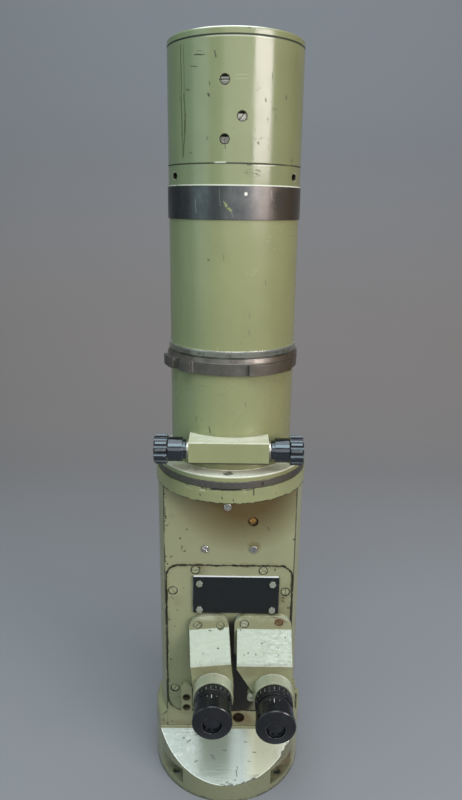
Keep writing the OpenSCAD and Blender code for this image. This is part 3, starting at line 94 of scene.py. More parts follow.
# Coordinates inside a material are the object's own, so that wear rides with its piece
class Graph:
    """One material's nodes, added and linked in short calls."""

    def __init__(self, name):
        self.mat = bpy.data.materials.new(name)
        self.mat.use_nodes = True
        self.nt = self.mat.node_tree
        self.nt.nodes.clear()
        self.out = self.nt.nodes.new("ShaderNodeOutputMaterial")
        self.pos = self.nt.nodes.new("ShaderNodeTexCoord").outputs["Object"]
        mm = self.node("ShaderNodeVectorMath", {0: self.pos, 1: (1000, 1000, 1000)},
                       operation="MULTIPLY")
        self.x, self.y, self.z = self.node("ShaderNodeSeparateXYZ", {0: mm.outputs[0]}).outputs
        self.seen = {}

    def put(self, value, socket):
        if isinstance(value, bpy.types.NodeSocket):
            self.nt.links.new(value, socket)
            return
        many = hasattr(socket.default_value, "__len__")
        if many and not hasattr(value, "__len__"):
            value = (value,) * len(socket.default_value)
        if many and len(value) == 3 and len(socket.default_value) == 4:
            value = tuple(value) + (1.0,)
        socket.default_value = value

    def node(self, kind, ins=None, **props):
        n = self.nt.nodes.new(kind)
        for k, v in props.items():
            setattr(n, k, v)
        for k, v in (ins or {}).items():
            self.put(v, n.inputs[k])
        return n

    def math(self, op, a, b=0.0, clamp=False):
        return self.node("ShaderNodeMath", {0: a, 1: b}, operation=op, use_clamp=clamp).outputs[0]

    def add(self, a, b):
        return self.math("ADD", a, b)

    def less(self, a, b):
        return self.math("SUBTRACT", a, b)

    def flip(self, a):
        return self.math("SUBTRACT", 1.0, a)

    def absolute(self, a):
        return self.math("ABSOLUTE", a)

    def long(self, a, b):
        """The length of a flat vector."""
        return self.math("SQRT", self.add(self.mul(a, a), self.mul(b, b)))

    def mul(self, *values):
        out = values[0]
        for v in values[1:]:
            out = self.math("MULTIPLY", out, v)
        return out

    def most(self, *values):
        out = values[0]
        for v in values[1:]:
            out = self.math("MAXIMUM", out, v)
        return out

    def vec(self, op, a, b=(0, 0, 0)):
        n = self.node("ShaderNodeVectorMath", {0: a, 1: b}, operation=op)
        return n.outputs["Value"] if op in ("LENGTH", "DISTANCE", "DOT_PRODUCT") else n.outputs[0]

    def mapped(self, scale=(1, 1, 1), move=(0, 0, 0)):
        return self.node("ShaderNodeMapping", {"Vector": self.pos, "Location": move,
                                               "Scale": scale}).outputs[0]

    def noise(self, scale, detail=3.0, rough=0.55, stretch=None):
        """Noise over the object; stretch scales its three axes."""
        key = (scale, detail, rough, stretch)
        if key not in self.seen:
            src = self.mapped(scale=stretch) if stretch else self.pos
            self.seen[key] = self.node("ShaderNodeTexNoise", {
                "Vector": src, "Scale": scale, "Detail": detail, "Roughness": rough,
                "Distortion": 0.0}).outputs["Fac"]
        return self.seen[key]

    def band(self, value, lo, hi):
        """0 up to lo, 1 from hi on."""
        return self.node("ShaderNodeMapRange", {"Value": value, "From Min": lo, "From Max": hi},
                         clamp=True).outputs[0]

    def below(self, value, lo, hi):
        """1 up to lo, 0 from hi on."""
        return self.flip(self.band(value, lo, hi))

    def inside(self, value, lo, hi, soft=0.1):
        return self.mul(self.band(value, lo - soft, lo), self.below(value, hi, hi + soft))

    def patches(self, lo, hi, scale, detail=3.0, rough=0.55, stretch=None):
        """1 where the noise is over hi."""
        return self.band(self.noise(scale, detail, rough, stretch), lo, hi)

    def dots(self, lo, hi, scale):
        """Small round dots, one in each cell."""
        n = self.node("ShaderNodeTexVoronoi", {"Vector": self.pos, "Scale": scale})
        return self.below(n.outputs["Distance"], lo, hi)

    def hairs(self, lo, hi, scale, detail, rough, stretch):
        """Thin winding lines, where the noise is near its middle."""
        off = self.absolute(self.less(self.noise(scale, detail, rough, stretch), 0.5))
        return self.below(off, lo, hi)

    def ragged(self, value, by, scale, detail=3.0, rough=0.55):
        """The value, shifted to and fro by a noise."""
        return self.add(value, self.mul(self.less(self.noise(scale, detail, rough), 0.5), by))

    def mix(self, fac, a, b, how="MIX"):
        """Mixed colours, through the Mix node's colour sockets: 6 and 7 in, 2 out."""
        n = self.node("ShaderNodeMix", data_type="RGBA", blend_type=how)
        self.put(fac, n.inputs[0])
        self.put(a, n.inputs[6])
        self.put(b, n.inputs[7])
        return n.outputs[2]

    def lerp(self, fac, a, b):
        """Mixed numbers, through the Mix node's number sockets: 2 and 3 in."""
        return self.node("ShaderNodeMix", {0: fac, 2: a, 3: b}, data_type="FLOAT").outputs[0]

    def edges(self, radius):
        """1 on edges, 0 on flats, and the rounded normal."""
        bev = self.node("ShaderNodeBevel", {"Radius": radius}, samples=6)
        geo = self.node("ShaderNodeNewGeometry")
        dot = self.vec("DOT_PRODUCT", bev.outputs[0], geo.outputs["Normal"])
        return self.band(self.flip(dot), 0.02, 0.2), bev.outputs[0]

    def corners(self, reach):
        """1 in corners, 0 in the open."""
        ao = self.node("ShaderNodeAmbientOcclusion", {"Distance": reach}, samples=4)
        return self.flip(ao.outputs["AO"])

    def rise(self):
        """How far the surface faces up."""
        normal = self.node("ShaderNodeNewGeometry").outputs["Normal"]
        return self.node("ShaderNodeSeparateXYZ", {0: normal}).outputs[Z]

    def bump(self, height, strength, distance, normal):
        return self.node("ShaderNodeBump", {"Height": height, "Strength": strength,
                                            "Distance": distance, "Normal": normal}).outputs[0]

    def spot(self, centre, size, soft=0.5):
        """1 near a point, 0 outside an ellipsoid; millimetres."""
        size = size if hasattr(size, "__len__") else (size,) * 3
        n = self.mapped(move=tuple(-c / s for c, s in zip(centre, size)),
                        scale=tuple(1000.0 / s for s in size))
        return self.below(self.vec("LENGTH", n), 1 - soft, 1.0)

    def turned(self):
        """Angle about Z from straight ahead towards +X, in degrees."""
        if "turned" not in self.seen:
            a = self.math("ARCTAN2", self.x, self.mul(self.y, -1))
            self.seen["turned"] = self.mul(a, math.degrees(1))
        return self.seen["turned"]

    def sector(self, start, end, soft):
        return self.inside(self.turned(), start, end, soft)

    def around(self, cx, cz):
        """Distance from an axis along Y."""
        return self.long(self.less(self.x, cx), self.less(self.z, cz))

    def stroke(self, u0, v0, u1, v1, width, u, v):
        """A short straight mark from (u0, v0) to (u1, v1)."""
        length = math.hypot(u1 - u0, v1 - v0)
        cu, cv = (u1 - u0) / length, (v1 - v0) / length
        du, dv = self.less(u, u0), self.less(v, v0)
        along = self.add(self.mul(du, cu), self.mul(dv, cv))
        off = self.absolute(self.less(self.mul(du, cv), self.mul(dv, cu)))
        near = self.below(off, width * 0.5, width * 0.85)
        return self.mul(near, self.inside(along, 0, length, width))

    def shader(self, **ins):
        n = self.node("ShaderNodeBsdfPrincipled")
        for k, v in ins.items():
            self.put(v, n.inputs[k.replace("_", " ")])
        self.nt.links.new(n.outputs[0], self.out.inputs["Surface"])
        return self.mat


class Coat:
    """A surface while its marks are painted on: its colour, how far it is darkened by chips and by painted
    shade, bare metal or smooth, and veil, which is added to its height."""

    def __init__(self, g, col):
        self.g, self.col = g, col
        self.dark = self.metal = self.veil = self.smooth = 0.0

    def tint(self, mask, colour, strength=1.0):
        self.col = self.g.mix(self.g.mul(mask, strength), self.col, colour)

    def multiply(self, mask, colour):
        self.col = self.g.mix(mask, self.col, colour, "MULTIPLY")

    def stain_and_light(self, mask, colour, strength=1.0, fine=110, keep=0.35):
        """Colour broken up by a fine noise, for stains and for painted light and shade; keep is what stays
        everywhere.
        """
        g = self.g
        broken = g.add(g.mul(g.patches(0.34, 0.6, fine, 4), 1 - keep), keep)
        self.tint(g.mul(mask, strength), colour, broken)

    def chip_and_shade(self, mask, colour=PRIMER, strength=1.0):
        """Paint lost down to a darker layer; painted shade goes through here as well."""
        mask = self.g.mul(mask, strength)
        self.tint(mask, colour)
        self.dark = self.g.most(self.dark, mask)

    def bare(self, mask, colour=BARE, strength=1.0):
        """Paint lost down to the metal."""
        mask = self.g.mul(mask, strength)
        self.tint(mask, colour)
        self.metal = self.g.most(self.metal, mask)

    def nicks(self, places, colour=OLD_CHIP, strength=0.9):
        """Small chips at (x, y, z) with a size each, ragged by a fine noise."""
        g = self.g
        rag = g.node("ShaderNodeTexNoise", {"Vector": g.pos, "Scale": 900.0, "Detail": 2.0})
        bent = g.vec("SUBTRACT", rag.outputs["Color"], (0.5, 0.5, 0.5))
        bent = g.vec("ADD", g.pos, g.vec("MULTIPLY", bent, (0.0016, 0.0016, 0.0016)))
        mask = 0.0
        for x, y, z, size in places:
            far = g.vec("DISTANCE", bent, (x / 1000, y / 1000, z / 1000))
            mask = g.most(mask, g.below(far, size * 0.0006, size * 0.0010))
        self.chip_and_shade(mask, colour, strength)

    def face_nicks(self, places, colour=OLD_CHIP, strength=0.9):
        """Small chips at (x, z) on the flat front, with a size each."""
        self.nicks([(x, FACE_Y, z, size) for x, z, size in places], colour, strength)


# The kinds of surface
def paint(name, tone=GREEN, wear=0.5, specks=0.5, dirt_and_shade=0.6, gloss=0.28, edge=0.0007,
          rim_dark=0.5, extra=None, lift=1.0, crest_highlight=0.5, side_light=0.0):
    """Worn olive gloss paint on cast metal."""
    g = Graph(name)
    coat = Coat(g, tone)
    coat.tint(g.patches(0.36, 0.66, 8, 4, 0.6), times(tone, 1.10))
    coat.tint(g.patches(0.5, 0.72, 30), times(tone, 1.22), 0.35)
    coat.tint(g.patches(0.5, 0.78, 34, stretch=(1, 1, 0.12)), times(tone, 0.74), 0.22)
    # painted light: the right side of round pieces warmer and darker, the left side cooler
    if side_light:
        coat.multiply(g.mul(g.sector(50, 110, 34), side_light), (0.72, 0.60, 0.42))
        coat.multiply(g.sector(-110, -40, 34), (0.86, 0.99, 1.04))
    # grime and painted shade in corners
    coat.tint(g.mul(g.band(g.corners(0.010), 0.22, 0.8), dirt_and_shade, g.patches(0.28, 0.58, 75, 4)), GRIME_AND_SHADE)
    # pinholes and chips
    dots = g.mul(g.dots(0.09, 0.13, 260), g.patches(0.62, 0.66, 27, 2))
    chips = g.patches(0.742 - 0.02 * specks, 0.75 - 0.02 * specks, 110, 5, 0.74)
    coat.chip_and_shade(g.most(dots, chips), strength=min(1.0, 0.5 + specks))
    # rubbed edges: bare or dark; every edge also gets a painted highlight
    rim, round_n = g.edges(edge)
    worn = g.mul(rim, g.patches(0.64 - 0.26 * wear, 0.68 - 0.22 * wear, 230, 5, 0.72))
    torn = g.mix(g.patches(0.56 - 0.12 * rim_dark, 0.6 - 0.1 * rim_dark, 150), BARE, PRIMER)
    # painted highlight along every edge
    coat.tint(rim, times(tone, 1.7, 0.05), crest_highlight)
    coat.tint(worn, torn)
    if extra:
        extra(coat)
    rough = g.lerp(g.patches(0.3, 0.7, 34, 4), gloss - 0.03, gloss + 0.07)
    rough = g.lerp(coat.smooth, rough, 0.13)
    rough = g.math("ADD", rough, g.mul(coat.dark, 0.45), clamp=True)
    height = g.add(g.mul(g.noise(520, 2), 0.10), g.mul(g.noise(75, 2), 0.55))
    height = g.less(height, g.mul(g.most(coat.dark, g.mul(worn, 0.6)), 0.8))
    height = g.add(height, coat.veil)
    return g.shader(Base_Color=coat.col, Roughness=rough, Specular_IOR_Level=0.5 * lift,
                    Metallic=g.most(coat.metal, g.mul(worn, 0.35)),
                    Normal=g.bump(height, 0.55, 0.00020, round_n))


def metal(name, tone, dark, rough=0.35, grain=(1, 1, 1), fine=500, rust=0.0, metallic=1.0,
          extra=None, painted_shine=0.7):
    """Bare or blackened metal with turning marks, tarnish, painted highlights on its edges and painted
    shade in its corners.
    """
    g = Graph(name)
    marks = g.noise(fine, 2, stretch=grain)
    tarnish = g.noise(60, 5, 0.65)
    coat = Coat(g, tone)
    coat.tint(g.band(tarnish, 0.35, 0.68), dark)
    coat.tint(g.band(marks, 0.4, 0.7), times(tone, 0.5), 0.25)
    rim, round_n = g.edges(0.0005)
    # painted highlights on the edges, and painted shade in the corners
    coat.tint(rim, times(tone, 1.5, 0.1), painted_shine)
    coat.tint(g.band(g.corners(0.004), 0.3, 0.9), GRIME_AND_SHADE, 0.6)
    if rust:
        coat.stain_and_light(g.patches(0.62 - 0.2 * rust, 0.7 - 0.2 * rust, 240, 5), RUST, rust)
    if extra:
        extra(coat)
    return g.shader(Base_Color=coat.col, Metallic=metallic,
                    Roughness=g.lerp(g.band(tarnish, 0.3, 0.7), rough - 0.06, rough + 0.12),
                    Normal=g.bump(marks, 0.35, 0.00008, round_n))


def black(name, tone=(0.010, 0.011, 0.013), rough=0.2, worn=0.3, edge=0.0006, extra=None,
          dusty=0.5, spec=0.6, tint=(1, 1, 1)):
    """Black enamel with dust, and rubbed edges that also carry a painted highlight."""
    g = Graph(name)
    coat = Coat(g, tone)
    coat.tint(g.patches(0.5, 0.85, 150, 5, 0.7), (0.10, 0.10, 0.095), dusty)
    rim, round_n = g.edges(edge)
    # paler edges: wear, and a painted highlight
    coat.tint(g.mul(rim, g.patches(0.62 - 0.3 * worn, 0.7 - 0.25 * worn, 300, 4)),
              (0.30, 0.31, 0.31))
    if extra:
        extra(coat)
    return g.shader(Base_Color=coat.col, Metallic=0.0, Specular_IOR_Level=spec, Specular_Tint=tint,
                    Roughness=g.lerp(g.patches(0.3, 0.7, 70, 4), rough - 0.05, rough + 0.12),
                    Normal=g.bump(g.noise(700, 2), 0.25, 0.00006, round_n))


def glass(name):
    """Coated lens glass over a dark inside."""
    g = Graph(name)
    smear = g.noise(90, 3)
    col = g.mix(g.band(smear, 0.4, 0.7), (0.004, 0.005, 0.007), (0.011, 0.012, 0.015))
    return g.shader(Base_Color=col, Roughness=g.lerp(smear, 0.05, 0.16), Metallic=0.0,
                    Specular_IOR_Level=0.55)


# Marks that the photo shows, each at its own place: the tube and its head
def on_round(azimuth, radius, z):
    a = math.radians(azimuth)
    return radius * math.sin(a), -radius * math.cos(a), z


def round_marks(coat, marks, colour, radius):
    """Marks on a round surface: (az, z) to (az, z) in degrees and mm, width in mm, strength."""
    g = coat.g
    k = math.radians(radius)
    u, v = g.ragged(g.mul(g.turned(), k), 2.4, 60, 2), g.ragged(g.z, 1.2, 140, 2)
    for a0, z0, a1, z1, width, strength in marks:
        line = g.stroke(a0 * k, z0, a1 * k, z1, width, u, v)
        coat.chip_and_shade(g.mul(line, strength, g.patches(0.26, 0.4, 300)), colour)


def head_scratches(coat):
    g = coat.g
    round_marks(coat, [
        (-48.9, 788, -48.5, 745, 1.2, 0.8), (-48.5, 746, -47.6, 715, 1.5, 0.85),
        (-47.6, 716, -47.3, 696, 1.0, 0.8), (-45.3, 788, -45.0, 748, 0.9, 0.7),
        (-45.0, 748, -43.6, 731, 1.5, 0.9), (-43.6, 732, -44.4, 717, 1.9, 0.95),
        (-44.4, 717, -46.9, 697, 1.2, 0.9), (-51.5, 770, -51.0, 742, 0.7, 0.4),
    ], (0.075, 0.105, 0.035), BAND_R)
    round_marks(coat, [
        (-33.7, 778.8, -24.8, 777.9, 0.8, 0.95), (-31, 781.5, -26, 781.2, 0.5, 0.5),
        (-16.7, 780.3, -15.9, 775.5, 0.9, 0.95), (-37.6, 770, -31.8, 769.4, 0.7, 0.7),
        (-21.9, 747, -21.3, 745.4, 1.4, 0.95), (-42.6, 752, -39.3, 751.7, 1.4, 0.6),
        (-20.6, 756.8, -20.2, 754.2, 0.9, 0.7), (43.8, 748.2, 44.0, 745.9, 1.2, 0.9),
        (24.0, 743.8, 24.7, 742.0, 0.9, 0.6), (29.5, 764.6, 29.2, 760.7, 0.8, 0.5),
        (33.9, 731, 34.0, 728, 0.9, 0.6), (30.8, 736.6, 35.2, 735.8, 0.7, 0.6),
        (-22.2, 712.4, -22.0, 710.6, 1.1, 0.5), (18.2, 708.2, 18.6, 707.2, 1.0, 0.7),
        (54.5, 696, 54.9, 694, 1.2, 0.8), (-7.5, 705.4, -7.3, 702.8, 0.9, 0.6),
        (32.2, 773.5, 33.5, 772.0, 0.8, 0.5), (26.0, 728.5, 26.6, 726.9, 0.7, 0.5),
        (-38.8, 699.8, -37, 699.4, 0.8, 0.6), (9.0, 798.2, 10.6, 797.9, 1.0, 0.8),
    ], (0.040, 0.050, 0.026), BAND_R)
    k = math.radians(BAND_R)
    u = g.mul(g.turned(), k)
    for z in (758.5, 761.5):
        coat.tint(g.stroke(-0.5 * k, z, 9.2 * k, z + 0.6, 0.4, u, g.z), (0.44, 0.47, 0.30), 0.28)


def head_seams(coat):
    """Wrinkled paint at the collar, the lines of the lid and the lower lip, and painted highlights at the
    lid.
    """
    g = coat.g
    wrinkle = g.hairs(0.008, 0.022, 170, 4, 0.65, (0.6, 0.6, 1.9))
    place = g.mul(g.sector(8, 18, 5), g.inside(g.z, SHELL_LOW - 8.7, SHELL_LOW + 2.3, 4))
    coat.chip_and_shade(g.mul(wrinkle, place, g.patches(0.45, 0.52, 120, 2)), (0.05, 0.05, 0.025), 0.8)
    crease = g.ragged(SHELL_LOW + 0.8, 9.0, 120, 2)
    fold = g.below(g.absolute(g.less(g.z, crease)), 0.4, 0.8)
    coat.chip_and_shade(g.mul(fold, g.sector(7, 15, 2)), (0.03, 0.03, 0.015), 0.9)
    seam = g.inside(g.z, SHELL_LOW - 0.5, SHELL_LOW + 0.5, 0.35)
    coat.chip_and_shade(g.mul(seam, g.patches(0.3, 0.42, 28)), (0.018, 0.020, 0.010), 0.9)
    flake = g.inside(g.z, SHELL_LOW + 0.2, SHELL_LOW + 1.2, 0.3)
    coat.tint(g.mul(flake, g.sector(-15, -8, 2)), (0.62, 0.64, 0.52), 0.8)
    flake = g.inside(g.z, SHELL_LOW - 1.5, SHELL_LOW - 0.8, 0.3)
    coat.tint(g.mul(flake, g.sector(20, 32, 4)), (0.70, 0.68, 0.56), 0.4)
    lid = g.inside(g.z, SHELL_TOP - 0.9, SHELL_TOP + 0.3, 0.35)
    coat.chip_and_shade(lid, (0.010, 0.014, 0.008), 0.95)
    # a painted highlight along the shell's top edge, at the front
    painted_shine = g.inside(g.z, SHELL_TOP - 2.0, SHELL_TOP - 1.2, 0.3)
    coat.tint(g.mul(painted_shine, g.sector(-18, 22, 10)), (0.55, 0.58, 0.45), 0.5)
    # a painted highlight along the lid's top edge, at the front
    top = g.inside(g.z, LID_TOP - 0.7, LID_TOP + 0.2, 0.2)
    coat.tint(g.mul(top, g.sector(-26, 14, 14)), (0.80, 0.84, 0.76), 0.9)
    lip = g.inside(g.z, BAND_TOP - 0.2, BAND_TOP + 1.1, 0.3)
    coat.tint(g.mul(lip, g.patches(0.34, 0.44, 45)), (0.66, 0.70, 0.58), 0.9)


def head_marks(coat):
    g = coat.g
    head_scratches(coat)
    head_seams(coat)
    # the collar's screw holes: painted shade inside, pale rims
    for azimuth in (-COLLAR_SCREW_TURN, COLLAR_SCREW_TURN):
        rim, hole = (on_round(azimuth, r, COLLAR_SCREW_Z) for r in (BAND_R, BAND_R - 1))
        coat.tint(g.spot(rim, 4.6, 0.3), (0.50, 0.52, 0.38), 0.35)
        coat.tint(g.spot(hole, 3.1, 0.15), (0.008, 0.008, 0.006))


def tube_marks(coat):
    round_marks(coat, [
        (-20, 444, -19, 438, 1.0, 0.9), (12, 470, 13, 466, 0.8, 0.6),
        (-33, 452, -33.5, 447, 0.8, 0.7), (28, 588, 28.6, 584, 0.8, 0.7),
        (-8, 612, -8, 606, 0.6, 0.6), (15, 560, 14, 553, 0.6, 0.6),
        (-21.5, 607, -20.5, 606, 1.2, 0.8), (-12, 478, -6, 477, 0.5, 0.5),
        (-30, 486, -22, 485, 0.5, 0.45), (14, 542, 14.4, 536, 0.7, 0.6),
    ], (0.060, 0.070, 0.035), TUBE_R)


def upper_tube_marks(coat):
    """The tube's lower flange has lost most of its paint."""
    g = coat.g
    tube_marks(coat)
    reach = g.long(g.x, g.y)
    flange = g.mul(g.inside(g.z, JOINT_Z - 1.2, JOINT_Z + 7.5, 0.1),
                   g.band(reach, TUBE_R + 0.2, TUBE_R + 0.5))
    coat.bare(flange, (0.36, 0.37, 0.32), 0.8)
    left = g.mul(g.patches(0.52, 0.60, 150, 5, 0.7), g.inside(g.z, JOINT_Z + 1.0, JOINT_Z + 4.8, 0.8))
    coat.tint(g.mul(flange, left), (0.14, 0.15, 0.11), 0.7)
    top = g.mul(g.band(g.z, JOINT_Z + 5.4, JOINT_Z + 6.6), g.patches(0.34, 0.46, 120, 4, 0.7))
    coat.tint(g.mul(flange, top), (0.62, 0.64, 0.56), 0.85)
    under = g.mul(g.inside(g.z, JOINT_Z - 0.2, JOINT_Z + 1.2, 0.3), g.patches(0.3, 0.5, 60))
    coat.tint(g.mul(flange, under), (0.035, 0.038, 0.032), 0.75)


def band_marks(coat):
    """The dark sealing band, with painted light that is warmer to the right and cooler to the left, and a
    green scrape.
    """
    g = coat.g
    k = math.radians(BAND_R)
    u = g.mul(g.turned(), k)
    # painted light: warmer to the right, cooler to the left
    warm_light = g.mul(g.band(g.turned(), 8, 50), g.below(g.turned(), 65, 110))
    cool_light = g.mul(g.below(g.turned(), -50, 5), g.band(g.turned(), -130, -90))
    coat.stain_and_light(warm_light, (0.145, 0.110, 0.072), fine=420, keep=0.55)
    coat.stain_and_light(cool_light, (0.058, 0.072, 0.078), fine=300, keep=0.6)
    coat.tint(g.spot(on_round(9.3, BAND_R, 665), 1.9, 0.4), (0.62, 0.64, 0.60))
    bent = g.ragged(u, 4.0, 240)
    for a0, z0, a1, z1, width in [(-6.6, 655.6, -3.0, 650.8, 1.7), (-8.6, 658.4, -6.2, 655.0, 0.8)]:
        scrape = g.stroke(a0 * k, z0, a1 * k, z1, width, bent, g.z)
        coat.tint(g.mul(scrape, g.patches(0.38, 0.5, 330)), (0.30, 0.36, 0.15), 0.9)
    for a, z0, z1 in [(-12, 669, 655), (-2, 650, 645), (31, 668, 660), (-33, 660, 648)]:
        coat.tint(g.stroke(a * k, z0, (a + 1) * k, z1, 0.5, u, g.z), (0.30, 0.31, 0.31), 0.5)


def ring_marks(coat):
    g = coat.g
    # painted light: the right side warmer and darker
    warm_light = g.mul(g.band(g.turned(), 12, 50), g.below(g.turned(), 65, 110))
    coat.stain_and_light(warm_light, (0.105, 0.074, 0.042), fine=120, keep=0.55)


def recess_marks(coat):
    """Shadow and soot over the head's sunk screws."""
    g = coat.g
    shadow_and_soot = g.mul(g.band(g.corners(0.0045), 0.10, 0.55), 0.95)
    # painted shadow in the upper part of each recess
    for z in HEAD_SCREW_Z:
        shadow_and_soot = g.most(shadow_and_soot, g.inside(g.z, z + 1.8, z + 6, 0.6))
    coat.tint(shadow_and_soot, (0.010, 0.011, 0.009))


# The worm's block and the discs
def block_marks(coat):
    g = coat.g
    # a painted highlight along the top front edge
    crest_highlight = g.mul(g.inside(g.z, BLOCK_TOP - 0.9, BLOCK_TOP + 0.4, 0.2),
                  g.below(g.y, BLOCK_FRONT + 0.4, BLOCK_FRONT + 1.1))
    coat.tint(crest_highlight, (0.72, 0.74, 0.60), 0.8)
    # painted light on the top face, with paler streaks
    top = g.band(g.z, BLOCK_TOP - 0.5, BLOCK_TOP - 0.1)
    coat.tint(top, (0.56, 0.57, 0.42), 0.9)
    coat.tint(g.mul(top, g.patches(0.46, 0.6, 90, stretch=(0.25, 1, 1))), (0.70, 0.71, 0.60), 0.6)
    # painted shadow on the underside and the lowest edge of the front
    coat.chip_and_shade(g.below(g.z, BLOCK_LOW + 0.8, BLOCK_LOW + 1.4), (0.014, 0.014, 0.008), 0.93)


def disc_marks(coat):
    g = coat.g
    k = math.radians(DISC_R)
    u = g.mul(g.turned(), k)
    # dark broken lines at the top and bottom edges: chips, and painted shade in the gaps
    rag = g.ragged(g.z, 4.4, 230, 6, 0.8)
    front = g.sector(-30, 6, 6)
    under = g.mul(g.band(rag, SCALE_LOW - 1.5, SCALE_LOW - 1.1), front, g.patches(0.42, 0.48, 60))
    rim = g.mul(g.below(rag, DISC_LOW + 0.5, DISC_LOW + 0.9), g.patches(0.46, 0.5, 70, 4))
    coat.chip_and_shade(g.most(under, rim), (0.005, 0.005, 0.004), 0.97)
    pale = g.inside(rag, SCALE_LOW - 3.8, SCALE_LOW - 1.8, 0.5)
    coat.tint(g.mul(pale, front, g.patches(0.52, 0.6, 70)), (0.52, 0.56, 0.42), 0.6)
    for a0, z0, a1, z1, width in [(16.6, 379, 16.6, 385.8, 1.1), (10.5, 385.0, 16.6, 385.0, 0.8),
                                  (-6, 377.5, -5.6, 376, 1.0), (2, 375.5, 2.4, 373.5, 0.8),
                                  (-22, 378.2, -21.6, 377, 1.0)]:
        coat.chip_and_shade(g.stroke(a0 * k, z0, a1 * k, z1, width, u, g.z), (0.04, 0.04, 0.02), 0.9)
    crumbs = g.mul(g.dots(0.16, 0.22, 420), g.sector(22, 40, 5),
                   g.inside(g.z, SCALE_LOW - 2.8, SCALE_LOW - 0.4, 0.6))
    coat.chip_and_shade(crumbs, (0.02, 0.02, 0.014), 0.9)


def flange_marks(coat):
    g = coat.g
    tube_marks(coat)
    # the flange's top face painted lighter, as lit from above; lit makes it lighter still at the front
    flat = g.mul(g.band(g.z, FLANGE_TOP - 0.6, FLANGE_TOP - 0.2),
                 g.below(g.z, FLANGE_TOP + 0.3, FLANGE_TOP + 0.7))
    coat.tint(flat, (0.56, 0.58, 0.45), 0.8)
    coat.tint(g.mul(flat, g.patches(0.5, 0.62, 90, 4)), (0.70, 0.72, 0.62), 0.45)
    # a broken painted highlight along the top face's outer edge
    rim = g.mul(g.inside(g.z, FLANGE_TOP - 1.4, FLANGE_TOP + 0.3, 0.3),
                g.band(g.long(g.x, g.y), FLANGE_R - 1.4, FLANGE_R - 0.8))
    coat.tint(g.mul(rim, g.patches(0.3, 0.42, 120, 4, 0.7)), (0.66, 0.68, 0.54), 0.8)
    under = g.inside(g.z, FLANGE_LOW - 0.4, FLANGE_LOW + 0.5, 0.2)
    coat.chip_and_shade(g.mul(under, g.patches(0.5, 0.53, 170, 6, 0.78)), (0.04, 0.04, 0.03), 0.8)
    lit = g.mul(flat, g.inside(g.x, -60, 60, 20), g.below(g.y, -66, -60))
    coat.tint(lit, (0.86, 0.89, 0.73), 0.92)
    screw = g.spot(on_round(-2, 71, FLANGE_TOP + 0.1), 6.4, 0.3)
    coat.chip_and_shade(g.mul(screw, g.patches(0.44, 0.52, 300, 4)), (0.05, 0.045, 0.03), 0.9)
    crumbs = g.mul(g.dots(0.15, 0.21, 380), flat, g.sector(-3, 26, 4), g.below(g.y, -74, -72))
    coat.chip_and_shade(crumbs, (0.02, 0.018, 0.012), 0.9)


def scale_marks(coat):
    """The index line, and tarnish to both sides."""
    g = coat.g
    k = math.radians(SCALE_R)
    u = g.mul(g.turned(), k)
    line = g.stroke(23.6 * k, SCALE_LOW + 2.2, 23.6 * k, SCALE_LOW + 5.0, 1.8, u, g.z)
    coat.chip_and_shade(line, (0.02, 0.018, 0.012))
    coat.stain_and_light(g.sector(20, 48, 6), (0.16, 0.14, 0.09), 0.6, fine=140)
    coat.stain_and_light(g.sector(-70, -35, 10), (0.13, 0.15, 0.11), 0.5, fine=90)


# The body's flat front
def groove(coat, reach):
    """Grime and painted shade along the gap round the front cover; reach is how far it spreads in places.
    """
    g = coat.g
    cz, half = (COVER_LOW + COVER_TOP) / 2, (COVER_TOP - COVER_LOW) / 2
    corner = g.lerp(g.band(g.z, cz - 20, cz + 20), COVER_LOW_CORNER, COVER_TOP_CORNER)
    px = g.less(g.absolute(g.x), g.less(COVER_HALF, corner))
    pz = g.less(g.absolute(g.less(g.z, cz)), g.less(half, corner))
    out = g.long(g.most(px, 0.0), g.most(pz, 0.0))
    off = g.add(out, g.math("MINIMUM", g.most(px, pz), 0.0))
    off = g.absolute(g.less(g.less(off, corner), 0.2))
    wide = g.add(0.45, g.mul(g.patches(0.44, 0.66, 90, 6, 0.8), reach))
    front = g.below(g.y, FACE_Y + 0.6, FACE_Y + 1.1)
    # the gap: a dark broken line of painted shade and grime
    coat.chip_and_shade(g.mul(g.below(g.less(off, wide), -0.1, 0.3), front), (0.006, 0.006, 0.003), 0.98)
    coat.stain_and_light(g.mul(g.below(off, 0.5, 5.0), front), BROWN, 0.35, fine=60, keep=0.0)


def face_stains(coat, front):
    """Oil and painted shadow under the disc, and rust round the screws and plugs."""
    g = coat.g
    # oil and the disc's shadow, painted in dark brown, with a paler brown spread round it
    oil_and_shadow = g.mul(g.spot((14, FACE_Y, 374), (80, 60, 84), 0.55), front)
    coat.tint(oil_and_shadow, (0.092, 0.058, 0.009), 0.95)
    halo = g.mul(g.spot((4, FACE_Y, 362), (84, 60, 76), 0.85), front)
    coat.stain_and_light(halo, (0.12, 0.095, 0.036), 0.45, fine=34, keep=0.5)
    for (x, z), size, strength in [(UPPER_PLUG, 7.5, 0.8), ((27.0, 297), 8, 0.75),
                                   ((-26.5, 295), 4.8, 0.4), (LOWER_PLUG, 14, 0.8),
                                   ((24, 68), 12, 0.6), ((-2.7, 343.6), 6.5, 0.8)]:
        coat.stain_and_light(g.spot((x, FACE_Y, z), size, 0.75), RUST, strength, fine=190, keep=0.35)
    halo = g.mul(g.spot((26.5, FACE_Y, 299.5), (8.6, 9, 7), 0.4), g.patches(0.4, 0.5, 120))
    coat.tint(halo, (0.13, 0.125, 0.045), 0.6)
    # painted shade in the recesses round the plugs, in rust brown
    holes = g.most(g.below(g.around(*UPPER_PLUG), 5.2, 5.9), g.below(g.around(*LOWER_PLUG), 6.6, 7.4))
    coat.tint(holes, (0.020, 0.012, 0.006), 0.92)


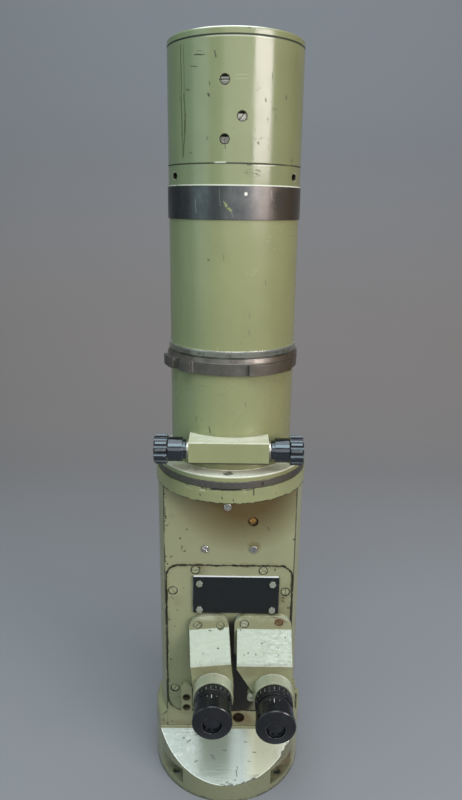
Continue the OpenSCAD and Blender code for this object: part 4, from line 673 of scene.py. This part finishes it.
def body_marks(coat):
    g = coat.g
    groove(coat, 2.1)
    front = g.below(g.y, FACE_Y + 0.1, FACE_Y + 0.5)
    face_stains(coat, front)
    coat.face_nicks([
        (-69.4, 333.2, 1.7), (-69.2, 330.8, 1.2), (-68.6, 322.5, 1.3), (-70.1, 327.5, 0.9),
        (-66.8, 324.0, 0.9), (-46.6, 318.0, 1.2), (-53.8, 307.3, 1.4), (-52.4, 297.5, 1.1),
        (-52.0, 295.4, 0.9), (-48.8, 291.9, 1.3), (-50.2, 291.0, 0.8), (-64.8, 284.6, 1.2),
        (-62.5, 285.6, 0.8), (-68.2, 275.6, 1.2), (-70.4, 359.6, 1.3), (-69.0, 355.6, 1.0),
        (70.4, 307.5, 1.7), (41.3, 321.1, 1.1), (42.6, 318.8, 0.9), (70.8, 360.2, 1.2),
        (-66.0, 64.5, 1.3),
    ], (0.028, 0.032, 0.015), 0.92)
    rings = g.most(g.inside(g.around(-63.0, 333.5), 2.0, 2.5, 0.3),
                   g.inside(g.around(-50.8, 294.5), 2.4, 2.9, 0.3))
    coat.chip_and_shade(g.mul(rings, g.patches(0.42, 0.55, 160)), (0.06, 0.07, 0.04), 0.6)
    # rubbed paint along the flat's two edges and above the seam
    out = g.absolute(g.x)
    line = g.mul(g.inside(out, 70.6, 71.9, 0.2), g.below(g.y, FACE_Y + 1, FACE_Y + 2))
    coat.chip_and_shade(g.mul(line, g.patches(0.36, 0.5, 60, 4, 0.7)), (0.030, 0.036, 0.018), 0.85)
    side = g.mul(g.band(out, 67.5, 70.0), front)
    coat.chip_and_shade(g.mul(side, g.patches(0.60, 0.62, 160, 5, 0.72)), strength=0.85)
    coat.stain_and_light(g.inside(g.z, 59, 63, 6), BROWN, 0.4, fine=50, keep=0.1)
    step = g.mul(g.stroke(-77.8, 73.2, -72.4, 78.4, 1.2, g.x, g.z), g.below(g.y, -20, -15))
    coat.chip_and_shade(g.mul(step, g.patches(0.4, 0.5, 200)), strength=0.9)


def cover_marks(coat):
    g = coat.g
    groove(coat, 1.9)
    # brown stains; the two dark ones near x = 6 and 8 are painted shade beside the housings
    painted_shade = (0.040, 0.036, 0.020)
    for x, z, size, tone, strength in [
            (38, 62, 24, BROWN, 0.55), (63, 236, 20, BROWN, 0.6), (-34, 266, 14, BROWN, 0.5),
            (6, 130, 30, painted_shade, 0.85), (8, 98, 26, painted_shade, 0.85), (-58, 100, 18, BROWN, 0.35),
            (60, 214, 16, BROWN, 0.45), (-58, 228, 12, BROWN, 0.3)]:
        coat.stain_and_light(g.spot((x, FACE_Y, z), size, 0.9), tone, strength, fine=70, keep=0.25)
    shade = g.mul(g.inside(g.x, -66, -40, 14), g.below(g.z, 170, 225))
    coat.tint(shade, (0.125, 0.160, 0.095), 0.35)
    # painted shade in the gap between the two housings
    gap = g.spot((13, FACE_Y, 108), (26, 30, 44), 0.35)
    slit = g.mul(g.inside(g.x, 1.5, 8.5, 4), g.inside(g.z, 100, 200, 12))
    coat.tint(g.most(gap, slit), (0.007, 0.005, 0.003), 0.97)
    grain = g.mul(g.dots(0.12, 0.17, 420), g.patches(0.52, 0.62, 22))
    coat.chip_and_shade(grain, (0.045, 0.048, 0.026), 0.75)
    coat.face_nicks([
        (-64.4, 234.1, 1.1), (-62.6, 232.0, 0.9), (-50.8, 245.5, 0.9), (60.5, 234.6, 1.2),
        (60.1, 230.8, 1.2), (61.6, 229.5, 0.8), (50.4, 270.6, 1.2), (50.7, 269.2, 0.9),
        (-58.4, 217.4, 0.9), (-33.0, 271.4, 1.7), (-61.0, 196.0, 1.0), (-66.0, 152.0, 1.4),
        (-67.2, 205.0, 1.3), (66.5, 221.9, 1.4)])
    # a dark broken ring round each screw: painted shade and grime where the head meets the cover
    for i, place in enumerate(COVER_SCREWS):
        ring = g.inside(g.around(*place), 4.4, 5.3, 0.35)
        coat.chip_and_shade(g.mul(ring, g.patches(0.38, 0.48, 90 + 9 * i)), (0.02, 0.02, 0.01), 0.95)


def socket_marks(coat):
    g = coat.g
    for place in SOCKET_HOLES:
        # painted shade inside the holes; brown grime round them
        coat.tint(g.below(g.around(*place), 3.9, 4.35), (0.012, 0.012, 0.01))
        coat.tint(g.inside(g.around(*place), 4.3, 5.0, 0.5), BROWN, 0.6)


def plate_marks(coat):
    """Broken painted highlights on the edges, brightest along the top."""
    g = coat.g
    top = g.mul(g.band(g.z, PLATE_TOP - 0.6, PLATE_TOP - 0.1), g.patches(0.2, 0.34, 60))
    coat.tint(top, (0.80, 0.84, 0.84), 0.95)
    left = g.mul(g.below(g.x, PLATE_LEFT + 0.05, PLATE_LEFT + 0.5), g.patches(0.36, 0.5, 50))
    coat.tint(left, (0.45, 0.48, 0.47), 0.6)


def plug_marks(coat):
    """The lower plug is dark, the upper one golden with rust."""
    g = coat.g
    gold = g.mix(g.patches(0.42, 0.58, 260, 4, 0.7), (0.46, 0.29, 0.085), (0.10, 0.045, 0.012))
    coat.tint(0.9, (0.016, 0.007, 0.004))
    coat.tint(g.band(g.z, 150, 250), gold)


# The prism housings and eyepieces
def slope_gloss(coat, slope, right):
    """The sloping faces: glossy, paler with rubbed paint and a painted sheen, with fine marks across them.
    """
    g = coat.g
    lines = g.noise(420, 3, 0.7, stretch=(0.16, 1, 1))
    crazed = g.noise(380, 4, 0.7, stretch=(0.35, 1, 1))
    coat.smooth = g.mul(slope, 0.85)
    # paler and bluer: rubbed paint, and a painted sheen from the light above
    coat.tint(slope, (0.31, 0.37, 0.29), 0.55)
    coat.tint(g.mul(slope, g.band(lines, 0.44, 0.64)), (0.42, 0.48, 0.42), 0.15)
    coat.tint(g.mul(right, g.band(crazed, 0.5, 0.56)), (0.60, 0.68, 0.64), 0.25)
    coat.veil = g.add(g.mul(right, crazed, 0.7), g.mul(slope, lines, 0.10))
    specks = g.mul(g.dots(0.08, 0.14, 330), g.patches(0.5, 0.6, 36))
    coat.chip_and_shade(g.mul(specks, slope), (0.09, 0.10, 0.08), 0.7)
    hair = g.mul(g.patches(0.58, 0.66, 1000, 4, 0.72, (0.2, 1, 1)), g.patches(0.40, 0.60, 45), slope)
    coat.tint(hair, (0.06, 0.08, 0.06), 0.45)
    rim = g.mul(g.below(g.y, -66.0, -64.5), slope)
    coat.chip_and_shade(g.mul(rim, g.dots(0.16, 0.24, 300)), (0.10, 0.10, 0.07), 0.5)
    coat.nicks([(x, y, SLOPE_OFFSET + y, size) for x, y, size in [
        (37.5, -52.8, 1.1), (63.5, -48.2, 1.0), (55.4, -56.0, 0.9), (22.0, -60.0, 1.0),
        (-11.5, -57.0, 1.5), (-32.8, -53.6, 0.9), (-31.6, -57.2, 0.8), (-28.0, -61.0, 1.0),
        (-21.5, -43.4, 1.2), (-19.6, -43.6, 0.9), (13.5, -42.9, 1.0), (55.2, -61.3, 0.9),
        (30.5, -60.9, 1.0), (17.6, -61.6, 1.0)]], (0.06, 0.07, 0.06))
    crack = g.mul(g.hairs(0.006, 0.020, 260, 5, 0.72, (0.55, 1, 1)), g.patches(0.38, 0.56, 34))
    coat.tint(g.mul(crack, slope), (0.05, 0.08, 0.06), g.lerp(right, 0.12, 0.5))
    flake = g.mul(g.patches(0.54, 0.57, 140, 6, 0.78), right)
    coat.veil = g.add(coat.veil, g.mul(flake, 0.5))


def housing_tops(coat, level):
    """Rust and dirt round the upper screws, painted shade and dirt round the pale one, and painted light
    along the tops.
    """
    g = coat.g
    x, z = RUSTY_SCREW
    coat.stain_and_light(g.spot((x, HOUSING_FLANGE_Y, z), 7.5, 0.7), (0.16, 0.052, 0.020), 0.95, fine=170, keep=0.5)
    for x0, z0, x1, z1, width in [(52, 213.4, 60, 211.6, 0.8), (60, 211.6, 65, 206.8, 0.8),
                                  (55, 209.6, 61, 208.4, 0.7), (48, 214, 53, 213.4, 0.6)]:
        run = g.mul(g.stroke(x0, z0, x1, z1, width, g.x, g.z), g.patches(0.36, 0.44, 300, 4))
        coat.chip_and_shade(g.mul(run, level), (0.07, 0.018, 0.008), 0.85)
    for x, z in LEFT_HOUSING_SCREWS:
        patch = g.mul(g.spot((x, HOUSING_FLANGE_Y, z), 5.5, 0.6), g.patches(0.42, 0.5, 170, 4))
        coat.chip_and_shade(patch, (0.045, 0.040, 0.018), 0.9)
    # painted shade and dirt round the pale screw's head
    ring = g.mul(g.inside(g.around(*PALE_SCREW), 4.3, 5.3, 0.3), level)
    coat.chip_and_shade(g.mul(ring, g.below(g.y, HOUSING_FLANGE_Y + 0.5, HOUSING_FLANGE_Y + 1)), (0.04, 0.035, 0.018),
              0.8)
    # painted light along the rounded tops
    crown = g.mul(g.band(g.z, 207, 211), level, g.patches(0.44, 0.6, 50))
    coat.tint(crown, (0.50, 0.52, 0.40), 0.5)


def boss_marks(coat):
    """The eyepieces' round bosses are painted paler on top, as lit from above, and palest where they leave
    the housing, a painted highlight.
    """
    g = coat.g
    boss = g.below(g.y, HOUSING_FRONT_Y - 0.8, HOUSING_FRONT_Y - 0.3)
    # painted light on the upper half of each boss
    coat.tint(g.mul(boss, g.band(g.z, 140, 157)), (0.43, 0.48, 0.35), 0.9)
    # a painted highlight where the boss leaves the housing
    heel = g.mul(g.inside(g.y, HOUSING_FRONT_Y - 2.0, HOUSING_FRONT_Y - 0.5, 0.4), g.band(g.z, 150, 158))
    coat.tint(heel, (0.68, 0.70, 0.56), 0.5)
    coat.nicks([(-15.0, -74.5, 161.4, 1.0), (50.5, -74.0, 161.2, 0.9), (-6, -73.2, 159.2, 0.7),
                (58.0, -75, 159.8, 0.7)], (0.10, 0.10, 0.06))


def housing_marks(coat):
    g = coat.g
    slope = g.inside(g.rise(), 0.55, 0.85, 0.08)
    slope_gloss(coat, slope, g.mul(g.band(g.x, 22, 52), slope))
    housing_tops(coat, g.flip(slope))
    boss_marks(coat)
    under = g.mul(g.below(g.y, -68.3, -67.3), g.inside(g.z, 160, 173, 8))
    coat.stain_and_light(under, BROWN, 0.35, fine=40, keep=0.2)


def screw_paint(coat):
    g = coat.g
    (rx, rz), (px, pz), (cx, cz) = RUSTY_SCREW, PALE_SCREW, CLAMP_SCREW
    coat.stain_and_light(g.spot((rx, HOUSING_FLANGE_Y, rz), 6.5, 0.2), RUST, 0.95, fine=260, keep=0.75)
    coat.tint(g.spot((px, HOUSING_FLANGE_Y, pz), 5.5, 0.2), (0.42, 0.43, 0.35), 0.35)
    coat.tint(g.spot((cx, HOUSING_FRONT_Y - 2, cz), 6.0, 0.2), (0.50, 0.52, 0.42), 0.5)


def ticks(eye):
    """White lines in a dioptre ring's grooves."""
    def marks(coat):
        g = coat.g
        r = g.around(*eye)
        line = g.mul(g.inside(g.y, -93.2, -87.0, 0.05), g.below(r, 20.42, 20.5), g.band(r, 19.9, 20.0))
        coat.tint(g.mul(line, g.patches(0.36, 0.46, 280)), (0.62, 0.64, 0.62), 0.9)
    return marks


def index(eye, start, end):
    """The white index line on an eyecup, with chips beside it."""
    def marks(coat):
        g = coat.g
        x, z = eye
        line = g.mul(g.inside(g.x, x - 1.4, x - 0.9, 0.15), g.inside(g.y, end, start, 0.2),
                     g.band(g.z, z + 14, z + 15), g.patches(0.34, 0.42, 330, 2))
        coat.tint(line, (0.60, 0.62, 0.60), 0.9)
        for dx, dy in [(4.2, 2.0), (-5.6, 1.4), (7.6, 3.5), (-8.0, 5.0)]:
            coat.tint(g.spot((x + dx, start - dy, z + 19.4), 0.7, 0.5), (0.5, 0.52, 0.5), 0.7)
    return marks


# The foot
def apron_marks(coat, apron):
    """The sloping apron: glossy, brushed across, with scratches where the photo shows them."""
    g = coat.g
    lines = g.noise(330, 3, 0.65, stretch=(0.05, 1, 1))
    comb = g.patches(0.42, 0.6, 700, 3, 0.6, (0.03, 1, 1))
    coat.tint(apron, (0.21, 0.275, 0.255), 0.65)
    # painted light on the apron's right part, lightening the reflection there
    coat.tint(g.mul(apron, g.band(g.x, 18, 30)), (0.56, 0.58, 0.42), 0.85)
    coat.smooth = g.mul(apron, g.lerp(comb, 0.78, 0.98))
    coat.veil = g.mul(apron, g.add(g.mul(lines, 0.35), g.mul(comb, 0.22)))
    pits = g.mul(apron, g.dots(0.09, 0.14, 300), g.patches(0.45, 0.6, 26, 2))
    coat.chip_and_shade(pits, (0.10, 0.12, 0.11), 0.55)
    mottle = g.mul(apron, g.below(g.x, -45, -30), g.patches(0.52, 0.6, 170, 4, 0.7))
    coat.tint(mottle, (0.46, 0.50, 0.50), 0.45)
    for x0, y0, x1, y1, width in [
            (-19, -61.2, -15, -61.7, 1.0), (-18, -63.0, -13.5, -63.3, 0.8),
            (-16, -64.6, -14, -64.8, 0.7), (-5, -56.5, -1.5, -57, 1.1),
            (11, -74, 11.6, -79, 0.7), (3, -85.4, 7, -85.9, 0.7),
            (0, -84.2, 1.6, -84.4, 0.7), (9, -82, 10.4, -82.3, 0.7),
            (12, -71, 12.6, -72.4, 0.7), (-44, -48, -47, -50, 0.8),
            (-50, -46, -52.6, -46.4, 0.7), (-38, -43, -35, -43.4, 0.6),
            (24, -66, 27, -66.3, 0.6), (30, -58, 34, -58.3, 0.6),
            (-34, -66, -37, -67, 0.7), (20, -49, 24, -49.4, 0.5)]:
        scratch = g.stroke(x0, y0, x1, y1, width, g.x, g.y)
        coat.chip_and_shade(g.mul(scratch, g.patches(0.40, 0.46, 420, 4, 0.75), apron), (0.035, 0.05, 0.04), 0.85)
    hair = g.mul(g.patches(0.60, 0.68, 900, 4, 0.7, (0.14, 1, 1)), g.patches(0.45, 0.62, 30), apron)
    coat.tint(hair, (0.05, 0.07, 0.06), 0.35)


def foot_marks(coat):
    g = coat.g
    apron = g.mul(g.inside(g.rise(), 0.6, 0.95, 0.05), g.below(g.y, FACE_Y - 1, FACE_Y))
    apron_marks(coat, apron)
    # the lower rim: a broken painted contact shadow
    rag = g.ragged(g.z, 9.0, 120, 5, 0.75)
    rim = g.mul(g.below(rag, 1.8, 2.4), g.patches(0.34, 0.42, 45))
    coat.chip_and_shade(rim, (0.016, 0.014, 0.010), 0.92)
    # dirt and rust in the bolt pockets
    reach = g.long(g.x, g.y)
    pocket = g.mul(g.below(reach, FOOT_R - 1.8, FOOT_R - 0.3), g.inside(g.z, 7.5, 29.2, 0.5),
                   g.below(g.y, -40, -36))
    coat.stain_and_light(g.mul(pocket, g.band(g.x, 20, 40)), (0.085, 0.055, 0.025), 0.8, fine=95, keep=0.45)
    coat.stain_and_light(g.mul(pocket, g.below(g.x, -40, -20)), (0.15, 0.16, 0.13), 0.5, fine=60, keep=0.5)
    coat.stain_and_light(g.spot((70, -52, 26), (22, 26, 26), 0.6), RUST, 0.75, fine=120, keep=0.2)
    # the apron's crest, a painted highlight, and its nibbled tip
    crest_highlight = g.mul(g.band(reach, FOOT_R - 1.1, FOOT_R - 0.3), g.inside(g.z, 22, 60, 1), apron)
    coat.tint(crest_highlight, (0.80, 0.84, 0.78), 0.6)
    nibbles = g.band(g.ragged(reach, 7.0, 120, 5, 0.75), FOOT_R - 1.4, FOOT_R - 0.9)
    coat.chip_and_shade(g.mul(apron, nibbles, g.band(g.x, -25, -5), g.patches(0.46, 0.52, 44)),
              (0.02, 0.025, 0.014), 0.95)
    # the round side under the apron: darker, chipped
    side = g.mul(g.flip(apron), g.below(g.y, -45, -36), g.below(g.z, 50, 58))
    coat.tint(side, (0.115, 0.130, 0.080), 0.5)
    chips = g.mul(g.flip(apron), g.dots(0.12, 0.17, 200), g.patches(0.5, 0.58, 24, 2))
    coat.chip_and_shade(g.mul(chips, g.below(g.y, -50, -40)), (0.03, 0.03, 0.018), 0.85)


def dress(material, *names):
    for n in names:
        o = NODES[n]
        o.data.materials.clear()
        o.data.materials.append(material)
        for s in o.material_slots:
            s.material = material


# Painted pieces
dress(paint("paint_head", wear=0.35, gloss=0.17, specks=0.35, extra=head_marks, dirt_and_shade=0.45,
            crest_highlight=0.15, side_light=0.5), "head_shell", "head_lid", "head_collar")
dress(paint("paint_upper_tube", tone=TUBE, wear=0.3, gloss=0.22, specks=0.3,
            extra=upper_tube_marks, side_light=0.3), "upper_tube")
dress(paint("paint_lower_tube", tone=TUBE, wear=0.25, gloss=0.24, specks=0.3,
            extra=flange_marks, dirt_and_shade=0.7, side_light=0.4), "lower_tube")
dress(paint("paint_block", tone=TUBE, wear=0.45, gloss=0.26, specks=0.3, extra=block_marks,
            edge=0.0006, rim_dark=0.1), "worm_block")
dress(paint("paint_disc", tone=TUBE, wear=0.35, dirt_and_shade=0.5, specks=0.6, edge=0.0006,
            rim_dark=0.9, extra=disc_marks), "azimuth_base")
dress(paint("paint_body", tone=BODY, wear=0.45, gloss=0.30, dirt_and_shade=0.85, specks=0.6,
            extra=body_marks), "body_housing")
dress(paint("paint_bracket", tone=BODY, wear=0.6, gloss=0.30, dirt_and_shade=0.95, specks=0.6),
      "side_bracket")
dress(paint("paint_cover", tone=BODY, gloss=0.30, dirt_and_shade=0.9, specks=0.7, extra=cover_marks),
      "front_cover")
dress(paint("paint_socket", tone=BODY, wear=0.6, gloss=0.30, dirt_and_shade=0.9, specks=0.8,
            extra=socket_marks), "lamp_socket")
dress(paint("paint_housing", tone=BODY, wear=0.55, gloss=0.24, dirt_and_shade=0.75, specks=0.4,
            edge=0.0008, rim_dark=0.2, extra=housing_marks, lift=1.1),
      "right_prism_housing", "left_prism_housing")
dress(paint("paint_foot", tone=BODY, wear=0.6, gloss=0.26, dirt_and_shade=0.85, specks=0.6,
            extra=foot_marks, lift=1.5), "foot")
dress(paint("paint_on_screws", tone=(0.25, 0.262, 0.148), wear=0.9, gloss=0.32, dirt_and_shade=1.0,
            edge=0.0004, rim_dark=0.45, extra=screw_paint),
      "cover_screws", "right_housing_screws", "left_housing_screws")

# Bare and blackened metal
dress(metal("gunmetal_band", (0.135, 0.145, 0.145), (0.085, 0.092, 0.095), rough=0.3,
            grain=(1, 1, 0.3), fine=620, metallic=0.85, extra=band_marks, painted_shine=0.5),
      "sealing_band")
dress(metal("coupling_metal", (0.165, 0.160, 0.140), (0.090, 0.085, 0.072), rough=0.42,
            grain=(1, 1, 10), fine=220, metallic=0.7, rust=0.12, extra=ring_marks),
      "coupling_ring")
dress(metal("scale_ring_metal", (0.165, 0.158, 0.140), (0.105, 0.100, 0.090), rough=0.42,
            grain=(1, 1, 12), fine=240, metallic=0.8, extra=scale_marks), "scale_ring")
dress(metal("bare_metal", (0.30, 0.30, 0.28), (0.16, 0.16, 0.15), rough=0.4, metallic=0.85),
      "optics_shelf", "window_frame", "prism_cradle")
dress(metal("screw_steel", (0.58, 0.57, 0.53), (0.30, 0.29, 0.26), rough=0.26, rust=0.2),
      "cap_screws", "face_screws", "swivel_ring", "neck_nut", "flange_screws", "worm_shaft",
      "knob_screws", "derotator_balls", "upper_race", "worm_bushes")
dress(metal("sunk_screw_steel", (0.46, 0.46, 0.42), (0.20, 0.20, 0.17), rough=0.3, rust=0.1,
            extra=recess_marks), "head_screws")
dress(metal("bolt_alloy", (0.52, 0.54, 0.46), (0.30, 0.32, 0.24), rough=0.38, rust=0.15,
            metallic=0.7), "plate_bolts")
dress(metal("screw_rusty", (0.26, 0.17, 0.07), (0.07, 0.035, 0.014), rough=0.36, rust=0.4,
            metallic=0.7, extra=plug_marks), "recessed_screws")
dress(metal("bronze", (0.50, 0.34, 0.15), (0.28, 0.18, 0.08)),
      "thrust_ring", "worm_wheel", "azimuth_bush", "derotator_cage")

# Black pieces and glass
dress(black("knob_black", tone=(0.004, 0.005, 0.008), rough=0.10, worn=0.45, dusty=0.06,
            edge=0.0005, spec=1.0, tint=(0.80, 0.92, 1.0)), "left_knob", "right_knob")
dress(black("plate_black", tone=(0.0080, 0.0100, 0.0108), rough=0.32, worn=0.6, edge=0.0004,
            dusty=0.06, extra=plate_marks, spec=0.35), "blank_plate")
for side, eye in (("right", RIGHT_EYE), ("left", LEFT_EYE)):
    dress(black(side + "_ring_black", tone=(0.006, 0.007, 0.009), rough=0.22, worn=0.1,
                extra=ticks(eye), dusty=0.08, spec=0.5), side + "_dioptre_ring")
dress(black("right_cup_black", tone=(0.005, 0.006, 0.008), rough=0.16, worn=0.9, dusty=0.1,
            edge=0.0005, extra=index(RIGHT_EYE, -105.5, -111.0), spec=0.5), "right_eyecup")
dress(black("left_cup_black", tone=(0.006, 0.007, 0.009), worn=0.6, dusty=0.1, edge=0.0005,
            extra=index(LEFT_EYE, -101, -106), spec=0.45), "left_eyecup")
dress(black("inner_black", rough=0.3, dusty=0.1), "tube_lens_cells", "left_eyepiece_tube",
      "right_eyepiece_tube")
dress(glass("lens_glass"), "right_prisms", "left_prisms", "body_prisms", "derotator_prism",
      "tube_lenses", "head_window", "head_prism", "left_eye_lens", "right_eye_lens")

# Camera, as solved from the photo: angles in radians, lengths in metres
PITCH, ROLL = 0.28650456, 0.01274856
CAMERA_PLACE = (-0.000535, -0.6744, 0.65304)
FILM_MM = 36.0
PHOTO_PX = 800.0
FOCAL_PX = 652.46


def camera():
    right = Vector((1, 0, 0))
    up = Vector((0, math.sin(PITCH), math.cos(PITCH)))
    back = Vector((0, -math.cos(PITCH), math.sin(PITCH)))
    c, s = math.cos(ROLL), math.sin(ROLL)
    turn = Matrix((right * c + up * s, up * c - right * s, back)).transposed()
    cam = bpy.data.objects.new("camera", bpy.data.cameras.new("camera"))
    bpy.context.scene.collection.objects.link(cam)
    cam.matrix_world = Matrix.Translation(CAMERA_PLACE) @ turn.to_4x4()
    cam.data.sensor_width = FILM_MM
    cam.data.lens = FOCAL_PX * FILM_MM / PHOTO_PX
    cam.data.clip_start = 0.02
    bpy.context.scene.camera = cam


camera()

# Floor and backdrop in one sweep, in metres
SWEEP_HALF = 5.0
SWEEP_FRONT = -3.0
SWEEP_BEND = 0.9
SWEEP_TOP = 5.0
BEND_STEPS = 12


def sweep():
    prof = [(SWEEP_FRONT, 0.0), (SWEEP_BEND, 0.0)]
    for i in range(1, BEND_STEPS + 1):
        a = math.radians(90 * i / BEND_STEPS)
        prof.append((SWEEP_BEND * (1 + math.sin(a)), SWEEP_BEND * (1 - math.cos(a))))
    prof.append((2 * SWEEP_BEND, SWEEP_TOP))
    n = len(prof)
    verts = [(x, y, z) for x in (-SWEEP_HALF, SWEEP_HALF) for y, z in prof]
    faces = [(i, i + 1, n + i + 1, n + i) for i in range(n - 1)]
    me = bpy.data.meshes.new("sweep")
    me.from_pydata(verts, [], faces)
    for p in me.polygons:
        p.use_smooth = True
    o = bpy.data.objects.new("sweep", me)
    bpy.context.scene.collection.objects.link(o)
    g = Graph("sweep_paper")
    floor = g.mix(g.noise(1.5, 2), (0.220, 0.236, 0.256), (0.238, 0.250, 0.266))
    paper = g.mix(g.noise(1.1, 2), (0.212, 0.200, 0.196), (0.230, 0.214, 0.208))
    paper = g.mix(g.band(g.z, 250.0, 1000.0), paper, (0.222, 0.240, 0.262))
    wall = g.band(g.y, 300.0, 1300.0)
    me.materials.append(g.shader(Base_Color=g.mix(wall, floor, paper), Roughness=0.9,
                                 Specular_IOR_Level=0.2))


sweep()


# Lights, in metres and watts, and an even sky
SKY_COLOUR = (0.86, 0.88, 0.90, 1)
SKY_STRENGTH = 0.26


def area(name, place, aim, size, size_y, power, colour):
    light = bpy.data.lights.new(name, "AREA")
    light.shape = "RECTANGLE"
    light.size, light.size_y = size, size_y
    light.energy = power
    light.color = colour
    o = bpy.data.objects.new(name, light)
    bpy.context.scene.collection.objects.link(o)
    o.location = place
    o.rotation_euler = (Vector(aim) - Vector(place)).to_track_quat("-Z", "Y").to_euler()


area("key_right", (1.51, -1.46, 1.09), (0, 0, 0.8), 1.15, 0.66, 32, (1.0, 0.89, 0.90))
area("top_front", (0.0, -1.5, 2.7), (0, -0.06, 0.1), 1.9, 1.4, 46, (0.84, 0.96, 1.0))
area("fill_left", (-1.9, -1.2, 1.1), (0, 0, 0.4), 1.2, 1.8, 8, (0.80, 0.97, 0.98))
area("fill_front", (0.2, -3.0, 1.3), (0, 0, 0.4), 2.6, 1.5, 20, (1.0, 0.98, 0.94))
area("top_soft", (0.0, 0.2, 2.5), (0, 0, 0.3), 1.6, 1.6, 20, (0.95, 0.98, 1.0))
world = bpy.data.worlds.new("world")
bpy.context.scene.world = world
world.use_nodes = True
sky = world.node_tree.nodes["Background"]
sky.inputs["Color"].default_value = SKY_COLOUR
sky.inputs["Strength"].default_value = SKY_STRENGTH

bpy.context.scene.view_settings.view_transform = "Standard"
